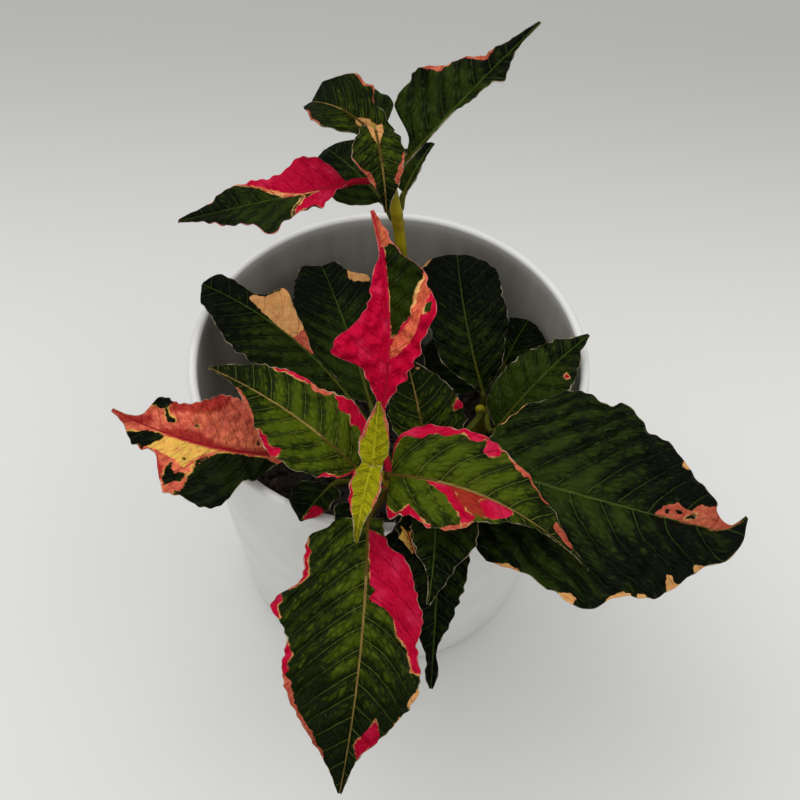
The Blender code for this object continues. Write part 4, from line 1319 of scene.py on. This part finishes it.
def blade_mesh(leaf, index):
    """Points, faces and flat places of a blade: upper face first, then lower, then the edge."""
    length = blade_length(leaf)
    rows = int(length / CELL) + 2
    share = np.linspace(-leaf.sheath / length, 1, rows)
    places, across, above = rib_line(leaf, share)
    left = half_widths(leaf, share, 0)
    right = half_widths(leaf, share, 1)
    cells = [max(LEAST_CELLS, int(half.max() / CELL)) for half in (left, right)]
    left_reach = -np.linspace(1, 0, cells[0] + 1) ** CROWDING
    right_reach = np.linspace(0, 1, cells[1] + 1)[1:] ** CROWDING
    reach = np.concatenate([left_reach, right_reach])
    on_right = reach > 0
    half = np.where(on_right, right[:, None], left[:, None])
    fold = np.where(on_right, radians(leaf.folds[1]), radians(leaf.folds[0]))
    turn = 2 * pi * (leaf.waves * share[:, None] + LEAF_PHASE * index + SIDE_PHASE * on_right)
    outward = np.abs(reach)
    lift = half * outward * (np.sin(fold) + EDGE_WAVE * outward * np.sin(turn))
    along = (share * length)[:, None]
    teeth = ripples(along + 50 * on_right, 0, 3.2, index + RAG_SEED)
    rag = MARGIN_RAG * np.minimum(1, half / 6) * teeth * smooth_step(outward, 0.55, 1)
    offset = (half * reach + rag * np.sign(reach)) * np.cos(fold)
    middle = places[:, None] + across[:, None] * offset[..., None] + above[:, None] * lift[..., None]
    normal = unit(np.cross(np.gradient(middle, axis=1), np.gradient(middle, axis=0)))
    x = np.broadcast_to(along, half.shape)
    y = half * reach
    margin = np.minimum(half * (1 - outward), length - x + 0.3)
    if leaf.sheath:
        margin = np.minimum(margin, x + leaf.sheath)
    veins = vein_places(leaf, x, y)
    bumpy = middle + normal * relief(leaf, index, x, y, margin, veins)[..., None]
    thick = EDGE_HALF_THICK + (BLADE_HALF_THICK - EDGE_HALF_THICK) * smooth_step(margin, 0, 2)
    ridge = RIB_RIDGE * (1 - 0.7 * share[:, None]) * np.exp(-((y / 0.8) ** 2))
    vein_ridge = VEIN_RIDGE * np.exp(-((vein_distance(leaf, veins) / 0.35) ** 2))
    ridge = ridge + vein_ridge * smooth_step(margin, 0, 3)
    upper = bumpy + normal * thick[..., None]
    lower = bumpy - normal * (thick + ridge)[..., None]
    columns = len(reach)
    count = rows * columns
    faces = grid_faces(rows, columns) + grid_faces(rows, columns, first=count, turned=True)
    walk = list(range(columns))
    walk += [row * columns + columns - 1 for row in range(1, rows)]
    walk += [(rows - 1) * columns + column for column in range(columns - 2, -1, -1)]
    walk += [row * columns for row in range(rows - 2, 0, -1)]
    for first, second in zip(walk, walk[1:] + walk[:1]):
        faces.append((second, first, count + first, count + second))
    shares = np.broadcast_to(share[:, None], x.shape)
    flat = {"x": x, "y": y, "margin": margin, "veins": veins, "share": shares}
    flat = {name: np.tile(values.ravel(), 2) for name, values in flat.items()}
    return np.concatenate([upper.reshape(-1, 3), lower.reshape(-1, 3)]), faces, flat


def stalk_mesh(leaf, first):
    """Points, faces and distances of a round stalk from inside the stem to under the blade."""
    inside, start, stalk_middle, base = leaf_guides(leaf)[:4]
    stalk = curve_points(start, stalk_middle, base, np.linspace(0, 1, STALK_RINGS))
    places, _, above = rib_line(leaf, np.linspace(0, 1, RIB_POINTS))
    under = np.linspace(0, min(0.4, RIDGE_REACH / blade_length(leaf)), RIDGE_RINGS + 1)[1:]
    run = np.concatenate([inside[None], stalk, places[(under * (RIB_POINTS - 1)).astype(int)]])
    in_stem, thick, thin, under_base, under_end = STALK_RADII
    stalk_radius = np.linspace(thick, thin, STALK_RINGS)
    ridge_radius = np.linspace(under_base, under_end, RIDGE_RINGS)
    radius = np.concatenate([[in_stem], stalk_radius, ridge_radius])
    straight = np.zeros(1 + STALK_RINGS - SINK_RINGS)
    sink = np.concatenate([straight, np.linspace(0, 1, SINK_RINGS), np.ones(RIDGE_RINGS)])
    ahead = unit(np.gradient(run, axis=0))
    side = unit(np.cross(ahead, above[0]))
    up = np.cross(side, ahead)
    run = run - up * (radius * 0.75 * sink)[:, None]
    angles = 2 * pi * np.arange(STALK_SIDES) / STALK_SIDES
    ring = np.cos(angles)[None, :, None] * side[:, None] + np.sin(angles)[None, :, None] * up[:, None]
    points = (run[:, None] + ring * radius[:, None, None]).reshape(-1, 3)
    faces = grid_faces(len(run), STALK_SIDES, first=first, closed=True)
    faces.append(tuple(first + corner for corner in range(STALK_SIDES))[::-1])
    last = first + (len(run) - 1) * STALK_SIDES
    faces.append(tuple(last + corner for corner in range(STALK_SIDES)))
    along = np.concatenate([[0], np.cumsum(np.linalg.norm(np.diff(run, axis=0), axis=1))])
    return points, faces, np.repeat(along, STALK_SIDES), np.tile(angles * 1.2, len(run))


def make_leaf(leaf, index):
    blade, faces, flat = blade_mesh(leaf, index)
    stalk, stalk_faces, along, round_it = stalk_mesh(leaf, len(blade))
    points = np.concatenate([blade, stalk])
    finish = leaf_finishes[leaf.finish]
    faces += stalk_faces
    piece = new_piece(leaf.name + "_blade", points, faces, finish, leaf.name, sharp=55)
    extra = len(stalk)
    x = np.concatenate([flat["x"], OFF_LEAF + along])
    y = np.concatenate([flat["y"], round_it])
    margin = np.concatenate([flat["margin"], np.full(extra, FAR_FROM_EDGE)])
    set_places(piece, "leaf_mm", np.stack([x, y, np.full(len(x), LEAF_SPACING * index)], 1))
    set_values(piece, "rib_mm", np.abs(y))
    set_values(piece, "margin_mm", margin)
    set_values(piece, "vein_place", np.concatenate([flat["veins"], np.full(extra, 0.5)]))
    set_values(piece, "share", np.concatenate([flat["share"], np.zeros(extra)]))
    set_values(piece, "stalk", np.concatenate([np.zeros(len(blade)), np.ones(extra)]))
    set_values(piece, "tone", np.full(len(x), leaf.tone))
    for colour in ("pink", "salmon", "cream", "blush", "dark"):
        set_values(piece, colour + "_mm", patch_reach(leaf, colour, x, y, margin))
    return piece


leaf_pieces = [make_leaf(leaf, index) for index, leaf in enumerate(LEAVES)]
print("leaf faces:", sum(len(piece.data.polygons) for piece in leaf_pieces))

# %% [markdown]
# ## Making the stems
#
# A stem could be a bevelled curve, but its thickness has to swell at each leaf. Here it is a stack of
# rings along the centre line, with six faint ribs and a rounded tip. Its bark is olive to tan with fine
# streaks along it, a little browner at the nodes.

# %% Stem pieces
RING_STEP = 0.6
STEM_RIBS = 6
RIB_HEIGHT = 0.025
RIB_TWIST = 0.05
RING_ANGLES = 2 * pi * np.arange(STEM_FINE_SIDES) / STEM_FINE_SIDES
STEM_CAP = ((0.5, 0.92), (0.9, 0.7), (1.15, 0.4), (1.25, 0.1))
STEM_GREEN = (0.21, 0.18, 0.003)
STEM_TAN = (0.38, 0.30, 0.008)
STEM_STREAK = (0.27, 0.21, 0.03)
NODE_BROWN = (0.24, 0.10, 0.02)


def stem_material():
    made = colour_material("stem", STEM_GREEN, 0.5, specular=0.1)
    tree = made.node_tree
    place = object_place(tree)
    grain = mottle(tree, stretch(tree, place, (1400, 1400, 90)), 1.0, 4)
    patchy = mottle(tree, place, 90, 3)
    base = blend(tree, rise(tree, patchy, 0.35, 0.65), STEM_GREEN, STEM_TAN)
    streaked = blend(tree, rise(tree, grain, 0.5, 0.75, 0, 0.7), base, STEM_STREAK)
    node_ring = value_of(tree, "node_ring")
    colour = blend(tree, calculate(tree, "MULTIPLY", node_ring, 0.35), streaked, NODE_BROWN)
    roughness = rise(tree, grain, 0.2, 0.8, 0.4, 0.6)
    finish_shader(made, colour, roughness, grain, 0.0003, 0.5)
    return made


def stem_ring(centre, radius, height):
    x = centre.x + radius * np.cos(RING_ANGLES)
    y = centre.y + radius * np.sin(RING_ANGLES)
    return np.stack([x, y, np.full(STEM_FINE_SIDES, height)], 1)


def make_stem(stem, finish):
    """A tapering stem of fine rings, swollen where leaves leave it, with a rounded tip."""
    top = stem.points[-1][2]
    nodes = [leaf.height for leaf in LEAVES if leaf.stem is stem]
    points = []
    rings = []
    for height in np.arange(STEM_FOOT, top, RING_STEP):
        near = max(np.exp(-(((height - node) / NODE_LENGTH) ** 2)) for node in nodes)
        ribbed = 1 + RIB_HEIGHT * np.cos(STEM_RIBS * RING_ANGLES + RIB_TWIST * height)
        radius = (stem_radius(stem, height) + NODE_SWELLING * near) * ribbed
        points.append(stem_ring(stem_centre(stem, height), radius, height))
        rings.append(near)
    for lift, share in STEM_CAP:
        points.append(stem_ring(stem_centre(stem, top), STEM_THIN * share, top + lift))
        rings.append(0)
    faces = grid_faces(len(points), STEM_FINE_SIDES, closed=True)
    faces.append(tuple(range(STEM_FINE_SIDES))[::-1])
    last = (len(points) - 1) * STEM_FINE_SIDES
    faces.append(tuple(last + corner for corner in range(STEM_FINE_SIDES)))
    points = np.concatenate(points)
    piece = new_piece(stem.name + "_bark", points, faces, finish, stem.name, sharp=60)
    set_values(piece, "node_ring", np.repeat(rings, STEM_FINE_SIDES))
    return piece


stem_finish = stem_material()
stem_pieces = [make_stem(stem, stem_finish) for stem in STEMS]
print("stem faces:", sum(len(piece.data.polygons) for piece in stem_pieces))
